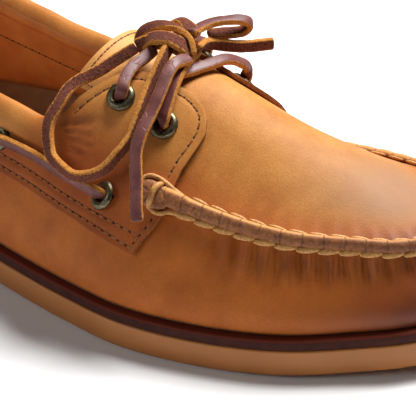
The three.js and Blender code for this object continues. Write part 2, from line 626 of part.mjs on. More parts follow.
const model = new THREE.Group();
model.add(
  piece('outsole', outsole(), COLOURS.gum, 0.7),
  piece('midsole', midsole(), COLOURS.dark, 0.7),
  piece('insole', insole(), COLOURS.lining, 0.8),
  piece('upper', punched(upper()), COLOURS.leather),
  piece('saddle', punched(saddle()), COLOURS.leather),
  piece('collar', collar(), COLOURS.roll),
  piece('moc_seam', mocSeam(), COLOURS.leather),
  piece('tongue', tongue(), COLOURS.leather),
);
for (const place of EYELETS) {
  for (const [word, side] of SIDES) {
    model.add(piece(`${place.name}_${word}`, eyelet(place, side), COLOURS.brass, 0.4, 0.9));
  }
}

model.add(
  piece('lace_cross', laceCross(), COLOURS.lace),
  piece('lace_rise_outer', tube(route(RISE_OUTER)), COLOURS.lace),
  piece('lace_rise_inner', tube(route(RISE_INNER)), COLOURS.lace),
);
for (const [name, from, to] of SIDE_STRETCHES) {
  for (const [word, side] of SIDES) {
    model.add(piece(`${name}_${word}`, sideStretch(from, to, side), COLOURS.lace));
  }
}
for (const [name, list] of Object.entries(FREE_LACE)) model.add(piece(name, tube(route(list)), COLOURS.lace));

// The origin is under the middle of the sole, on the ground
const middle = new THREE.Box3().setFromObject(model).getCenter(new THREE.Vector3());
model.position.set(-middle.x, -middle.y, 0);
const shoe = new THREE.Group();
shoe.add(model);
export default shoe;
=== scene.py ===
"""The boat shoe's finish over its plain solids: nubuck, lining, stitches, thread, brass and rawhide lace.

Metres, toe towards +X, outer side towards -Y, standing on z = 0.
"""
import math

import bmesh
import bpy
import numpy as np
from mathutils import Matrix, Vector, noise


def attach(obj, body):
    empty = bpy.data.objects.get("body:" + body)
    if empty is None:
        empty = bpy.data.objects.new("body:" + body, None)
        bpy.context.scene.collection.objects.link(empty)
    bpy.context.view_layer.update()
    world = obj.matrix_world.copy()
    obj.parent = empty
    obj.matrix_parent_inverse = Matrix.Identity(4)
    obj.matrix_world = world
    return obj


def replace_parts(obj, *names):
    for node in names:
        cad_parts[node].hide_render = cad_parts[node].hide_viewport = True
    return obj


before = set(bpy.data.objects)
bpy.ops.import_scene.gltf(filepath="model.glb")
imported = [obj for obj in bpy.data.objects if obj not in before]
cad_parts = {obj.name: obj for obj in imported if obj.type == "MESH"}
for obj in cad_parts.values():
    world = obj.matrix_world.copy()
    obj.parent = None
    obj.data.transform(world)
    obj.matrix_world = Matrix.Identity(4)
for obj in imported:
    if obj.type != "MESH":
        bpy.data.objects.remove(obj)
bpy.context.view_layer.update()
MM = 0.001

# Camera: the studio close-up, from the shoe's outer front quarter and above.
# Heel and toe run out of the frame on both sides.
VIEW_TURN = math.radians(38)
VIEW_RISE = math.radians(29.5)
VIEW_DISTANCE = 0.65
VIEW_AIM = Vector((0.0695, -0.0258, 0.045))
view_back = Vector((
    math.sin(VIEW_TURN) * math.cos(VIEW_RISE),
    -math.cos(VIEW_TURN) * math.cos(VIEW_RISE),
    math.sin(VIEW_RISE),
))
camera = bpy.data.objects.new("camera", bpy.data.cameras.new("camera"))
bpy.context.scene.collection.objects.link(camera)
bpy.context.scene.camera = camera
camera.location = VIEW_AIM + view_back * VIEW_DISTANCE
camera.rotation_euler = view_back.to_track_quat("Z", "Y").to_euler()
camera.data.sensor_width = 36
camera.data.lens = 174.4
bpy.context.scene.view_settings.view_transform = "Standard"
VIEW_AXES = np.array([
    (math.cos(VIEW_TURN), math.sin(VIEW_TURN), 0),
    view_back.cross(Vector((math.cos(VIEW_TURN), math.sin(VIEW_TURN), 0))),
    view_back,
])

# The form that the leather is pulled over: rows of the shoe's sections from heel to toe.
# Lengths along are shares of LENGTH, lengths across of BALL_WIDTH, heights of COLLAR_RISE above the sole.
LENGTH, BALL_WIDTH, COLLAR_RISE = 297 * MM, 108 * MM, 60 * MM
GUM, HEEL_LIFT, TOE_SPRING, MIDSOLE = 9.2 * MM, 4 * MM, 4 * MM, 3.8 * MM
SOLE_EDGE, SWELL, WALL, OVERLAY, GAP = 3.4 * MM, 3.2 * MM, 2 * MM, 1.5 * MM, 0.35 * MM
SPRING_FROM, LIFT_FROM, LIFT_TO = 0.74, 0.24, 0.5
WALL_HANDLE, PLUG_HANDLE, CREST_HANDLE, SPINE_FALL = 0.36, 0.36, 0.42, 0.42
STEP = 0.02
ORIGIN = np.array((-148.5, 1.722, 0)) * MM
# edgeOut, its side, edgeIn, its side, topOut, its side, topIn, its side, two heights, crest, side, height, lean, pitch
SECTIONS = np.array([
    (0.000, 0.000, 0.000, 0.000, 0.027, 0.000, 0.027, 0.000, 0.985, 0.985, 0.120, 0.000, 1.35, 4, 60),
    (0.016, 0.172, 0.016, 0.168, 0.036, 0.135, 0.036, 0.130, 0.970, 0.970, 0.130, 0.000, 1.35, 4, 60),
    (0.065, 0.294, 0.065, 0.284, 0.080, 0.222, 0.080, 0.210, 0.930, 0.925, 0.160, 0.000, 1.35, 5, 60),
    (0.165, 0.352, 0.165, 0.332, 0.172, 0.280, 0.172, 0.254, 0.865, 0.825, 0.240, 0.000, 1.35, 6, 60),
    (0.295, 0.390, 0.295, 0.336, 0.300, 0.300, 0.300, 0.262, 0.805, 0.745, 0.350, 0.000, 1.32, 8, 60),
    (0.415, 0.438, 0.415, 0.356, 0.415, 0.306, 0.415, 0.266, 0.780, 0.712, 0.455, 0.000, 1.25, 12, 60),
    (0.512, 0.482, 0.512, 0.396, 0.510, 0.308, 0.508, 0.280, 0.760, 0.712, 0.540, 0.000, 1.165, 24, 58),
    (0.600, 0.510, 0.600, 0.444, 0.598, 0.326, 0.595, 0.298, 0.704, 0.668, 0.602, 0.000, 1.085, 38, 50),
    (0.686, 0.516, 0.686, 0.478, 0.684, 0.322, 0.678, 0.300, 0.606, 0.556, 0.676, 0.006, 1.012, 36, 42),
    (0.778, 0.454, 0.778, 0.487, 0.764, 0.284, 0.754, 0.322, 0.536, 0.508, 0.748, 0.022, 0.892, 28, 34),
    (0.860, 0.352, 0.866, 0.455, 0.832, 0.222, 0.828, 0.362, 0.487, 0.496, 0.806, 0.046, 0.777, 24, 30),
    (0.922, 0.218, 0.936, 0.380, 0.886, 0.120, 0.892, 0.350, 0.447, 0.492, 0.846, 0.076, 0.678, 22, 28),
    (0.971, 0.088, 0.984, 0.255, 0.930, 0.020, 0.934, 0.250, 0.413, 0.438, 0.866, 0.096, 0.632, 20, 28),
    (1.000, -0.080, 1.000, 0.080, 0.952, -0.118, 0.952, 0.118, 0.398, 0.398, 0.872, 0.104, 0.622, 20, 28),
])
TOE_ROW = len(SECTIONS) - 1
LOOP = 2 * TOE_ROW
outer_rows = SECTIONS[:, (0, 1, 4, 5, 8, 10, 11, 12, 13, 14)] * (1, -1, 1, -1, 1, 1, 1, 1, 1, 1)
inner_rows = SECTIONS[:, (2, 3, 6, 7, 9, 10, 11, 12, 13, 14)]
LOOP_ROWS = np.vstack([outer_rows, inner_rows[TOE_ROW - 1:0:-1]])


def smooth(low, high, x):
    s = np.clip((x - low) / (high - low), 0, 1)
    return s * s * (3 - 2 * s)


def between(k):
    n = np.floor(k).astype(int)
    f = (k - n)[:, None]
    a, b, c, d = (LOOP_ROWS[(n + step) % LOOP] for step in (-1, 0, 1, 2))
    return 0.5 * (2 * b + (c - a) * f + (2 * a - 5 * b + 4 * c - d) * f**2 + (3 * b - a - 3 * c + d) * f**3)


def section_of(k):
    n = np.mod(k, LOOP)
    return np.minimum(n, LOOP - n)


def ground(x):
    return TOE_SPRING * np.maximum(0, (x / LENGTH - SPRING_FROM) / (1 - SPRING_FROM)) ** 2


def gum_top(x):
    return ground(x) + GUM + HEEL_LIFT * (1 - smooth(LIFT_FROM, LIFT_TO, x / LENGTH))


def sole_top(x):
    return gum_top(x) + MIDSOLE


def edge(k):
    v = between(k)
    return np.stack([v[:, 0] * LENGTH, v[:, 1] * BALL_WIDTH, 0 * k], 1)


def unit(v):
    return v / np.maximum(np.linalg.norm(v, axis=1), 1e-12)[:, None]


def outward(k):
    along = unit(edge(k + STEP) - edge(k - STEP))
    return np.stack([along[:, 1], -along[:, 0], 0 * k], 1)


def last(k, t):
    """A point of the form: k runs round the shoe, t from the sole (0) over the top line (1) to the crest (2)."""
    k, t = (np.array(a, float) for a in np.broadcast_arrays(np.atleast_1d(k), t))
    v = between(k)
    out = outward(k)
    up = np.array((0.0, 0.0, 1.0))
    foot = edge(k) - out * SOLE_EDGE
    foot[:, 2] = sole_top(foot[:, 0]) + GAP
    top = np.stack([v[:, 2] * LENGTH, v[:, 3] * BALL_WIDTH, sole_top(v[:, 2] * LENGTH) + v[:, 4] * COLLAR_RISE], 1)
    h = ((top[:, 2] - foot[:, 2]) * WALL_HANDLE)[:, None]
    belly = foot + out * SWELL + up * h
    under = top + out * h * np.tan(np.radians(v[:, 8]))[:, None] - up * h
    crest = np.stack([v[:, 5] * LENGTH, v[:, 6] * BALL_WIDTH, sole_top(v[:, 5] * LENGTH) + v[:, 7] * COLLAR_RISE], 1)
    inward = (crest - top) * (1, 1, 0)
    w = np.linalg.norm(inward, axis=1)[:, None]
    inward = unit(inward)
    rise = np.minimum(w[:, 0] * PLUG_HANDLE * np.tan(np.radians(v[:, 9])), (crest - top)[:, 2] * 0.96)[:, None]
    wall = (t <= 1)[:, None]
    a = np.where(wall, foot, top)
    b = np.where(wall, belly, top + inward * w * PLUG_HANDLE + up * rise)
    c = np.where(wall, under, crest - (inward - up * inward[:, :1] * SPINE_FALL) * w * CREST_HANDLE)
    d = np.where(wall, top, crest)
    s = np.where(t <= 1, t, t - 1)[:, None]
    r = 1 - s
    return a * r**3 + 3 * b * r**2 * s + 3 * c * r * s**2 + d * s**3 + ORIGIN


def normal_at(k, t, most=2.0):
    k, t = (np.array(a, float) for a in np.broadcast_arrays(np.atleast_1d(k), t))
    up = last(k, np.minimum(most, t + STEP)) - last(k, np.maximum(0, t - STEP))
    along = last(k + STEP, t) - last(k - STEP, t)
    return unit(np.cross(along, up))


def off(k, t, distance, most=2.0):
    """A point off the form by a distance along its normal."""
    return last(k, t) + normal_at(k, t, most) * np.atleast_1d(distance)[:, None]


# Lace: one flat strip of rawhide, grain side out, cut edges raw and orange, flesh side napped and dark.
# It runs through the eyelets, crosses under the knot, and hangs in two loops and two ends.
LACE_WIDTH = 4.1 * MM
LACE_THICK = 2.3 * MM
LACE_RING = [(-0.47, 0.46), (-0.2, 0.52), (0.2, 0.52), (0.47, 0.46), (0.5, 0.3), (0.52, 0), (0.5, -0.3),
             (0.46, -0.47), (0.2, -0.5), (-0.2, -0.5), (-0.46, -0.47), (-0.5, -0.3), (-0.52, 0), (-0.5, 0.3)]
LACE_EDGE = [0.35, 0, 0, 0.35, 1, 1, 1, 0.55, 0, 0, 0.55, 1, 1, 1]
LACE_FLESH = [0, 0, 0, 0, 0, 0, 0.3, 1, 1, 1, 1, 0.3, 0, 0]


def curve_through(points, step):
    """A smooth line through points, as points a step apart."""
    p = np.array(points, float)
    p = np.vstack([2 * p[0] - p[1], p, 2 * p[-1] - p[-2]])
    f = np.linspace(0, 1, 24, endpoint=False)[:, None]
    spans = [0.5 * (2 * b + (c - a) * f + (2 * a - 5 * b + 4 * c - d) * f**2 + (3 * b - a - 3 * c + d) * f**3)
             for a, b, c, d in zip(p, p[1:], p[2:], p[3:])]
    line = np.vstack(spans + [p[-2:-1]])
    reach = np.concatenate([[0], np.cumsum(np.linalg.norm(np.diff(line, axis=0), axis=1))])
    at = np.linspace(0, reach[-1], max(3, round(reach[-1] / step) + 1))
    return np.stack([np.interp(at, reach, line[:, axis]) for axis in range(3)], 1)


def heel_frame(points):
    return np.array(points, float) * MM + ORIGIN


def sheet(name, across, along, place, closed_u=False, closed_v=False, caps=False):
    """A grid whose squares are laid where place(u, v) says. It returns points, marks and the UV in metres."""
    bm = bmesh.new()
    bm.loops.layers.uv.new("UVMap")
    bmesh.ops.create_grid(bm, x_segments=across, y_segments=along, size=1)
    bm.verts.ensure_lookup_table()
    u, v = (np.array([round(0.5 + 0.5 * vert.co[axis], 7) for vert in bm.verts]) for axis in (0, 1))
    points, marks, flat = place(u, v)
    layers = [(bm.verts.layers.float.new(mark), values) for mark, values in marks.items()]
    for n, vert in enumerate(bm.verts):
        vert.co = points[n]
        for layer, values in layers:
            vert[layer] = values[n]
    uv = bm.loops.layers.uv.active
    for face in bm.faces:
        for loop in face.loops:
            loop[uv].uv = flat[loop.vert.index]
    if closed_u or closed_v:
        bmesh.ops.remove_doubles(bm, verts=bm.verts, dist=2e-6)
    bmesh.ops.dissolve_degenerate(bm, edges=bm.edges, dist=1e-7)
    if caps:
        bmesh.ops.holes_fill(bm, edges=[e for e in bm.edges if e.is_boundary], sides=0)
        bmesh.ops.recalc_face_normals(bm, faces=bm.faces)
    return bm


def made(bm, name, slot, *materials):
    """The finished object, riding on the shoe."""
    mesh = bpy.data.meshes.new(name)
    bm.to_mesh(mesh)
    bm.free()
    mesh.polygons.foreach_set("use_smooth", [True] * len(mesh.polygons))
    piece = bpy.data.objects.new(name, mesh)
    bpy.context.scene.collection.objects.link(piece)
    for material in materials:
        mesh.materials.append(material)
    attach(piece, "root")
    return piece


def linear(code):
    """An sRGB hex colour as linear red, green, blue and alpha."""
    parts = [int(code[n:n + 2], 16) / 255 for n in (1, 3, 5)]
    return tuple(c / 12.92 if c <= 0.04045 else ((c + 0.055) / 1.055) ** 2.4 for c in parts) + (1.0,)


def add(tree, kind, inputs=None, stops=None, **settings):
    """A node with its settings, its inputs as values or links, and a ramp's stops."""
    made_node = tree.nodes.new("ShaderNode" + kind)
    for key, value in settings.items():
        setattr(made_node, key, value)
    if stops:
        ramp = made_node.color_ramp
        while len(ramp.elements) < len(stops):
            ramp.elements.new(0.5)
        for element, (place, colour) in zip(ramp.elements, stops):
            element.position = place
            element.color = linear(colour) if isinstance(colour, str) else (colour, colour, colour, 1)
    for key, value in (inputs or {}).items():
        if isinstance(value, bpy.types.NodeSocket):
            tree.links.new(value, made_node.inputs[key])
        else:
            made_node.inputs[key].default_value = value
    return made_node


def blank(name):
    material = bpy.data.materials.new(name)
    material.use_nodes = True
    tree = material.node_tree
    return material, tree, tree.nodes["Principled BSDF"]


def rawhide():
    """Oiled rawhide: purple-brown grain with fine cracks, orange fuzzy cut edges, dark red-brown suede flesh."""
    material, tree, shader = blank("rawhide_lace")
    at = add(tree, "TexCoord").outputs["Object"]
    strip = add(tree, "UVMap").outputs[0]
    is_edge = add(tree, "Attribute", attribute_name="cut_edge").outputs["Fac"]
    is_flesh = add(tree, "Attribute", attribute_name="flesh_side").outputs["Fac"]
    # Grain: blotches about 5 mm across, and fine cracks across the strip, 1.3 mm apart
    blotch = add(tree, "TexNoise", {"Vector": at, "Scale": 200.0, "Detail": 3.0}).outputs["Fac"]
    grain = add(tree, "ValToRGB", {"Fac": blotch}, [(0.3, "#5A2B27"), (0.7, "#80453E")]).outputs["Color"]
    stretch = add(tree, "Mapping", {"Vector": strip, "Scale": (1.0, 0.35, 1.0)}).outputs[0]
    cracks = add(tree, "TexVoronoi", {"Vector": stretch, "Scale": 800.0}, feature="DISTANCE_TO_EDGE").outputs[0]
    line = add(tree, "MapRange", {"Value": cracks, "From Max": 0.05, "To Min": 1.0, "To Max": 0.0}).outputs[0]
    patches = add(tree, "MapRange", {"Value": blotch, "From Min": 0.5, "From Max": 0.62}).outputs[0]
    crack = add(tree, "Math", {0: line, 1: patches}, operation="MULTIPLY").outputs[0]
    faint = add(tree, "Math", {0: crack, 1: 0.55}, operation="MULTIPLY").outputs[0]
    grain = add(tree, "MixRGB", {"Fac": faint, "Color1": grain, "Color2": linear("#33191C")}).outputs[0]
    # Flesh: a nap of fibres about 0.5 mm across, and the same fuzz on the cut edges
    nap = add(tree, "TexNoise", {"Vector": at, "Scale": 1500.0, "Detail": 5.0, "Roughness": 0.75}).outputs["Fac"]
    flesh = add(tree, "ValToRGB", {"Fac": nap}, [(0.36, "#35100A"), (0.64, "#8E4A30")]).outputs["Color"]
    cut = add(tree, "ValToRGB", {"Fac": nap}, [(0.32, "#8E4A12"), (0.5, "#C57E2C"), (0.7, "#E0A350")]).outputs["Color"]
    rough_edge = add(tree, "Math", {0: nap, 1: 0.5}, operation="SUBTRACT").outputs[0]
    ragged = add(tree, "Math", {0: rough_edge, 1: 1.1, 2: is_edge}, operation="MULTIPLY_ADD").outputs[0]
    edge_mask = add(tree, "MapRange", {"Value": ragged, "From Min": 0.38, "From Max": 0.62}).outputs[0]
    flesh_mask = add(tree, "MapRange", {"Value": is_flesh, "From Min": 0.35, "From Max": 0.65}).outputs[0]
    sides = add(tree, "MixRGB", {"Fac": flesh_mask, "Color1": grain, "Color2": flesh}).outputs[0]
    colour = add(tree, "MixRGB", {"Fac": edge_mask, "Color1": sides, "Color2": cut}).outputs[0]
    fuzz = add(tree, "Math", {0: edge_mask, 1: flesh_mask}, operation="MAXIMUM").outputs[0]
    rough = add(tree, "MapRange", {"Value": fuzz, "To Min": 0.5, "To Max": 0.95}).outputs[0]
    high = add(tree, "Math", {0: nap, 1: fuzz}, operation="MULTIPLY").outputs[0]
    low = add(tree, "Math", {0: crack, 1: -0.25, 2: high}, operation="MULTIPLY_ADD").outputs[0]
    bump = add(tree, "Bump", {"Height": low, "Strength": 0.9, "Distance": 0.0004}).outputs[0]
    tree.links.new(colour, shader.inputs["Base Color"])
    tree.links.new(rough, shader.inputs["Roughness"])
    tree.links.new(bump, shader.inputs["Normal"])
    return material


lace_leather = rawhide()


def strap(name, line, facing, width=LACE_WIDTH, thick=LACE_THICK):
    """A strip along a line. facing holds (share, right, up, back): where its grain side looks, in the camera's axes."""
    table = np.array(facing, float)
    share = np.linspace(0, 1, len(line))
    look = np.stack([np.interp(share, table[:, 0], table[:, n]) for n in (1, 2, 3)], 1) @ VIEW_AXES
    return strip(name, line, look, width, thick)


def strip(name, line, look, width=LACE_WIDTH, thick=LACE_THICK):
    tangent = unit(np.gradient(line, axis=0))
    face = unit(look - tangent * np.sum(look * tangent, 1)[:, None])
    side = np.cross(tangent, face)
    count = len(LACE_RING)
    length = np.linalg.norm(np.diff(line, axis=0), axis=1).sum()

    def place(u, v):
        ring = np.rint(u * count).astype(int) % count
        n = np.rint(v * (len(line) - 1)).astype(int)
        shape = np.array(LACE_RING)[ring]
        edge_mark, flesh_mark = np.array(LACE_EDGE)[ring], np.array(LACE_FLESH)[ring]
        points = line[n] + side[n] * shape[:, :1] * width + face[n] * shape[:, 1:] * thick
        rough = np.array([noise.noise(Vector(p) * 700) for p in points])
        points += (side[n] * shape[:, :1] + face[n] * shape[:, 1:]) * (rough * (0.12 + 0.3 * edge_mark) * MM)[:, None]
        return points, {"cut_edge": edge_mark, "flesh_side": flesh_mark}, np.stack([u * 2 * width, v * length], 1)

    bm = sheet(name, count, len(line) - 1, place, closed_u=True, caps=True)
    piece = made(bm, name, "rawhide_lace", lace_leather)
    subdivide = piece.modifiers.new("soft", "SUBSURF")
    subdivide.levels = subdivide.render_levels = 1
    return piece


# Free lace. The routes are the plain solids' own, in millimetres from the heel.
FREE_LACE = {
    "lace_knot": [
        (170, -3, 80), (170, -2, 84), (173, 0, 86.5), (178, 1, 88), (184, 1, 88), (189, 0, 86), (192, -2, 82)],
    "lace_loop_outer": [
        (171, -6.2, 80.8), (168, -12, 78), (165, -18, 75), (161, -27, 72), (161, -34, 68), (161, -40, 62),
        (165, -44, 55), (171, -46.3, 53), (178, -47.3, 52), (183, -46, 53), (188, -44, 56), (191, -40, 61),
        (192, -35, 65), (191, -29, 71), (189, -22, 76), (187, -13, 82), (184.5, -5, 85), (183.7, -1.2, 85.5)],
    "lace_loop_inner": [
        (186.7, 2.9, 87.1), (186, 12, 86.5), (187, 17, 86.3), (190, 22, 86), (192, 26, 85), (193, 28, 83),
        (191, 27, 80.6), (189, 24, 80.4), (186, 20, 80.6), (184, 16, 81)],
    "lace_end_outer": [
        (191.9, -4, 82), (192, -13, 82.6), (194, -22, 77), (195, -28, 72), (196, -34, 68), (197, -38, 63),
        (201, -43, 56), (205, -48, 50), (207, -50, 46)],
    "lace_end_inner": [
        (190.9, 0.9, 82.9), (188, 9, 81.2), (188, 15, 79), (193, 22, 77), (197, 28, 76.5), (200, 32, 76.5)],
}
# Which way the grain side looks along each: share of the length, then right, up and towards the camera
FREE_FACING = {
    "lace_knot": [(0, 0.3, -0.5, -0.85), (0.35, 0, -0.55, -0.85), (0.52, -0.1, -0.8, -0.55), (0.66, -0.4, -0.85, -0.1),
                  (0.8, -0.8, -0.3, 0.1), (1, -0.9, 0.2, 0.1)],
    "lace_loop_outer": [(0, 0, 0.1, -1), (0.2, 0.3, 0.1, -0.95), (0.35, 0.6, 0.2, -0.8), (0.5, 0.2, 0.7, -0.7),
                        (0.62, -0.4, 0.7, -0.62), (0.8, -0.75, 0.2, -0.62), (1, -0.7, 0, -0.7)],
    "lace_loop_inner": [(0, -0.2, 0.8, 0.6), (0.4, 0, 0.85, 0.5), (0.55, 0.6, 0.6, 0.5), (0.62, 1, 0, 0.1),
                        (0.72, 0.1, -0.6, -0.8), (1, 0, -0.5, -0.9)],
    "lace_end_outer": [(0, 0, 0.4, 1), (0.5, -0.3, 0.2, 1), (1, -0.15, 0, 1)],
    "lace_end_inner": [(0, 0, 0.5, -0.85), (1, 0, 0.5, -0.85)],
}
for name, points in FREE_LACE.items():
    line = curve_through(heel_frame(points), 1.1 * MM)
    piece = strap(name + "_strip", line, FREE_FACING[name])
    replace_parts(piece, name)

# The knot's own folds: the turn that fills it, and the tips of the bights pushed through it
KNOT_FOLDS = {
    "knot_core": ([(171, -3.4, 80), (175.8, -4.2, 84.4), (180.6, -4.8, 86.4), (185, -4.8, 87), (188.6, -4, 85.6),
                   (189.8, -2.4, 83)],
                  [(0, 0.3, -0.45, -0.85), (0.5, 0, -0.5, -0.85), (1, -0.6, -0.5, -0.6)]),
    # A strip of lace under the knot's arch, flesh side to the camera: a dark sheet in the hollow there, standing in for
    # its shade.
    "knot_under_shade": ([(172.5, -1, 80.6), (177, -1.6, 82.8), (182, -2, 83.8), (187, -1.6, 82.6)],
                   [(0, 0, -0.3, -0.95), (1, 0, -0.3, -0.95)]),
    "knot_tuck": ([(171, -6.2, 80.8), (174, -4.2, 82.4), (178, -2.8, 83.6)],
                  [(0, 0, 0.1, -1), (1, 0, -0.2, -1)]),
    "knot_fold": ([(176.3, 4.6, 84.6), (178, 5.6, 87.6), (180.8, 6, 88.4), (184.8, 5, 87.2), (188, 3.4, 85.6)],
                  [(0, -0.3, -0.8, -0.4), (0.5, -0.1, -0.9, -0.4), (1, 0.4, -0.8, -0.4)]),
}
for name, (points, facing) in KNOT_FOLDS.items():
    strap(name, curve_through(heel_frame(points), 1.1 * MM), facing, width=5.4 * MM)

# Outsole: one piece of caramel gum rubber, moulded, with a plain upright side and a small bevel at the tread.
# The underside is razor cut in fine waves that open as the shoe flexes.
def inside(k, inset, z):
    p = edge(k) - outward(k) * np.atleast_1d(inset)[:, None]
    return np.stack([p[:, 0], p[:, 1], np.broadcast_to(z, k.shape)], 1) + ORIGIN


def slab(name, rows, fill=8, per_row=12):
    """A closed slab with the sole's outline. rows run from the bottom rim to the top rim: k -> (drawn in, height)."""
    total = 2 * fill + len(rows)

    def place(u, v):
        k = u * LOOP
        row = np.rint(v * (total - 1)).astype(int)
        points = np.zeros((len(u), 3))
        for j in range(total):
            pick = row == j
            rim = rows[min(max(j - fill, 0), len(rows) - 1)]
            share = min(1.0, j / fill, (total - 1 - j) / fill)
            (inset, z), (far_inset, far_z) = rim(k[pick]), rim(LOOP - k[pick])
            near, far = inside(k[pick], inset, z), inside(LOOP - k[pick], far_inset, far_z)
            points[pick] = near * (0.5 + 0.5 * share) + far * (0.5 - 0.5 * share)
        # The top three rows: the midsole paints its reddish highlight there.
        rim = np.where(row >= fill + len(rows) - 3, 1.0, 0.0)
        return points, {"rim": rim}, np.stack([points[:, 0], points[:, 1]], 1)

    return sheet(name, LOOP * per_row, total - 1, place, closed_u=True)


def gum_rubber():
    """Caramel gum rubber, moulded: even, faintly grained, a soft sheen. Under the sole the razor cuts show, as grooves
    in the bump with painted shade in them.
    """
    material, tree, shader = blank("gum_rubber")
    at = add(tree, "TexCoord").outputs["Object"]
    cloud = add(tree, "TexNoise", {"Vector": at, "Scale": 45.0, "Detail": 4.0}).outputs["Fac"]
    colour = add(tree, "ValToRGB", {"Fac": cloud}, [(0.3, "#AE6A30"), (0.7, "#BA763A")]).outputs["Color"]
    # Razor cuts: waves 3.6 mm apart across the sole, seen only from below, with painted shade in them and a groove in
    # the bump
    waves = add(tree, "TexWave", {"Vector": at, "Scale": 44.0, "Distortion": 0.0}, bands_direction="X")
    sway = add(tree, "TexWave", {"Vector": at, "Scale": 26.0}, bands_direction="Y", wave_profile="SIN").outputs["Fac"]
    shift = add(tree, "Math", {0: sway, 1: 5.0}, operation="MULTIPLY").outputs[0]
    tree.links.new(shift, waves.inputs["Phase Offset"])
    cut = add(tree, "MapRange", {
        "Value": waves.outputs["Fac"], "From Max": 0.16, "To Min": 1.0, "To Max": 0.0}).outputs[0]
    facing = add(tree, "SeparateXYZ", {0: add(tree, "NewGeometry").outputs["Normal"]}).outputs["Z"]
    below = add(tree, "Math", {0: facing, 1: -0.9}, operation="LESS_THAN").outputs[0]
    slit = add(tree, "Math", {0: cut, 1: below}, operation="MULTIPLY").outputs[0]
    colour = add(tree, "MixRGB", {"Fac": slit, "Color1": colour, "Color2": linear("#5A3818")}).outputs[0]
    grain = add(tree, "TexNoise", {"Vector": at, "Scale": 2600.0, "Detail": 2.0}).outputs["Fac"]
    height = add(tree, "Math", {0: slit, 1: -6.0, 2: grain}, operation="MULTIPLY_ADD").outputs[0]
    bump = add(tree, "Bump", {"Height": height, "Strength": 0.35, "Distance": 0.0002}).outputs[0]
    tree.links.new(colour, shader.inputs["Base Color"])
    tree.links.new(bump, shader.inputs["Normal"])
    shader.inputs["Roughness"].default_value = 0.5
    return material


MIDSOLE_INSET = 0.5 * MM


def heel_x(k):
    return edge(k)[:, 0]


OUTSOLE_RIM = [
    lambda k: (1.0 * MM, ground(heel_x(k))),
    lambda k: (0.35 * MM, ground(heel_x(k)) + 0.2 * MM),
    lambda k: (0, ground(heel_x(k)) + 0.8 * MM),
    lambda k: (0.15 * MM, (ground(heel_x(k)) + gum_top(heel_x(k))) / 2),
    lambda k: (0, gum_top(heel_x(k)) - 0.7 * MM),
    lambda k: (0.12 * MM, gum_top(heel_x(k)) - 0.25 * MM),
    lambda k: (0.45 * MM, gum_top(heel_x(k))),
]
outsole = made(slab("outsole_gum", OUTSOLE_RIM), "outsole_gum", "gum_rubber", gum_rubber())
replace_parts(outsole, "outsole")


# Midsole: a dark brown rubber strip cemented between gum and upper, its top edge rounded, with a painted reddish
# highlight along it.
def dark_rubber():
    """Dark brown filled rubber, ground and dyed: matt, dry, with a painted reddish highlight along its top edge."""
    material, tree, shader = blank("midsole_rubber")
    at = add(tree, "TexCoord").outputs["Object"]
    rim = add(tree, "Attribute", attribute_name="rim").outputs["Fac"]
    cloud = add(tree, "TexNoise", {"Vector": at, "Scale": 300.0, "Detail": 4.0}).outputs["Fac"]
    body = add(tree, "ValToRGB", {"Fac": cloud}, [(0.3, "#371610"), (0.7, "#472118")]).outputs["Color"]
    # Painted highlight: the top rows turn a lighter red-brown.
    colour = add(tree, "MixRGB", {"Fac": rim, "Color1": body, "Color2": linear("#64240F")}).outputs[0]
    grain = add(tree, "TexNoise", {"Vector": at, "Scale": 2400.0, "Detail": 3.0}).outputs["Fac"]
    bump = add(tree, "Bump", {"Height": grain, "Strength": 0.3, "Distance": 0.0002}).outputs[0]
    tree.links.new(colour, shader.inputs["Base Color"])
    tree.links.new(bump, shader.inputs["Normal"])
    shader.inputs["Roughness"].default_value = 0.8
    shader.inputs["Specular IOR Level"].default_value = 0.25
    return material


MIDSOLE_RIM = [
    lambda k: (MIDSOLE_INSET + 0.2 * MM, gum_top(heel_x(k)) + 0.02 * MM),
    lambda k: (MIDSOLE_INSET, gum_top(heel_x(k)) + 0.25 * MM),
    lambda k: (MIDSOLE_INSET, sole_top(heel_x(k)) - 0.95 * MM),
    lambda k: (MIDSOLE_INSET + 0.1 * MM, sole_top(heel_x(k)) - 0.55 * MM),
    lambda k: (MIDSOLE_INSET + 0.4 * MM, sole_top(heel_x(k)) - 0.1 * MM),
    lambda k: (MIDSOLE_INSET + 1.0 * MM, sole_top(heel_x(k))),
]
midsole = made(slab("midsole_strip", MIDSOLE_RIM), "midsole_strip", "midsole_rubber", dark_rubber())
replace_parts(midsole, "midsole")


# Insole: a leather-covered footbed, dark taupe, its edge turned up a little inside the wall.
def footbed_leather():
    """Finished split leather over foam: taupe, dull, with a fine even grain."""
    material, tree, shader = blank("insole_leather")
    at = add(tree, "TexCoord").outputs["Object"]
    cloud = add(tree, "TexNoise", {"Vector": at, "Scale": 120.0, "Detail": 4.0}).outputs["Fac"]
    colour = add(tree, "ValToRGB", {"Fac": cloud}, [(0.3, "#82664A"), (0.7, "#9E805F")]).outputs["Color"]
    grain = add(tree, "TexVoronoi", {"Vector": at, "Scale": 1300.0}).outputs[0]
    bump = add(tree, "Bump", {"Height": grain, "Strength": 0.3, "Distance": 0.0002}).outputs[0]
    tree.links.new(colour, shader.inputs["Base Color"])
    tree.links.new(bump, shader.inputs["Normal"])
    shader.inputs["Roughness"].default_value = 0.65
    return material


INSOLE = 5 * MM
INSOLE_INSET = SOLE_EDGE + WALL + 1.2 * MM


ARCH = 11 * MM


def footbed_top(k, share=1.0):
    """The footbed's height at its edge: it rises under the arch, on the inner side."""
    inner = LOOP - np.mod(k, LOOP)
    return sole_top(heel_x(k)) + INSOLE + share * ARCH * smooth(3, 5.2, inner) * (1 - smooth(6, 8.2, inner))


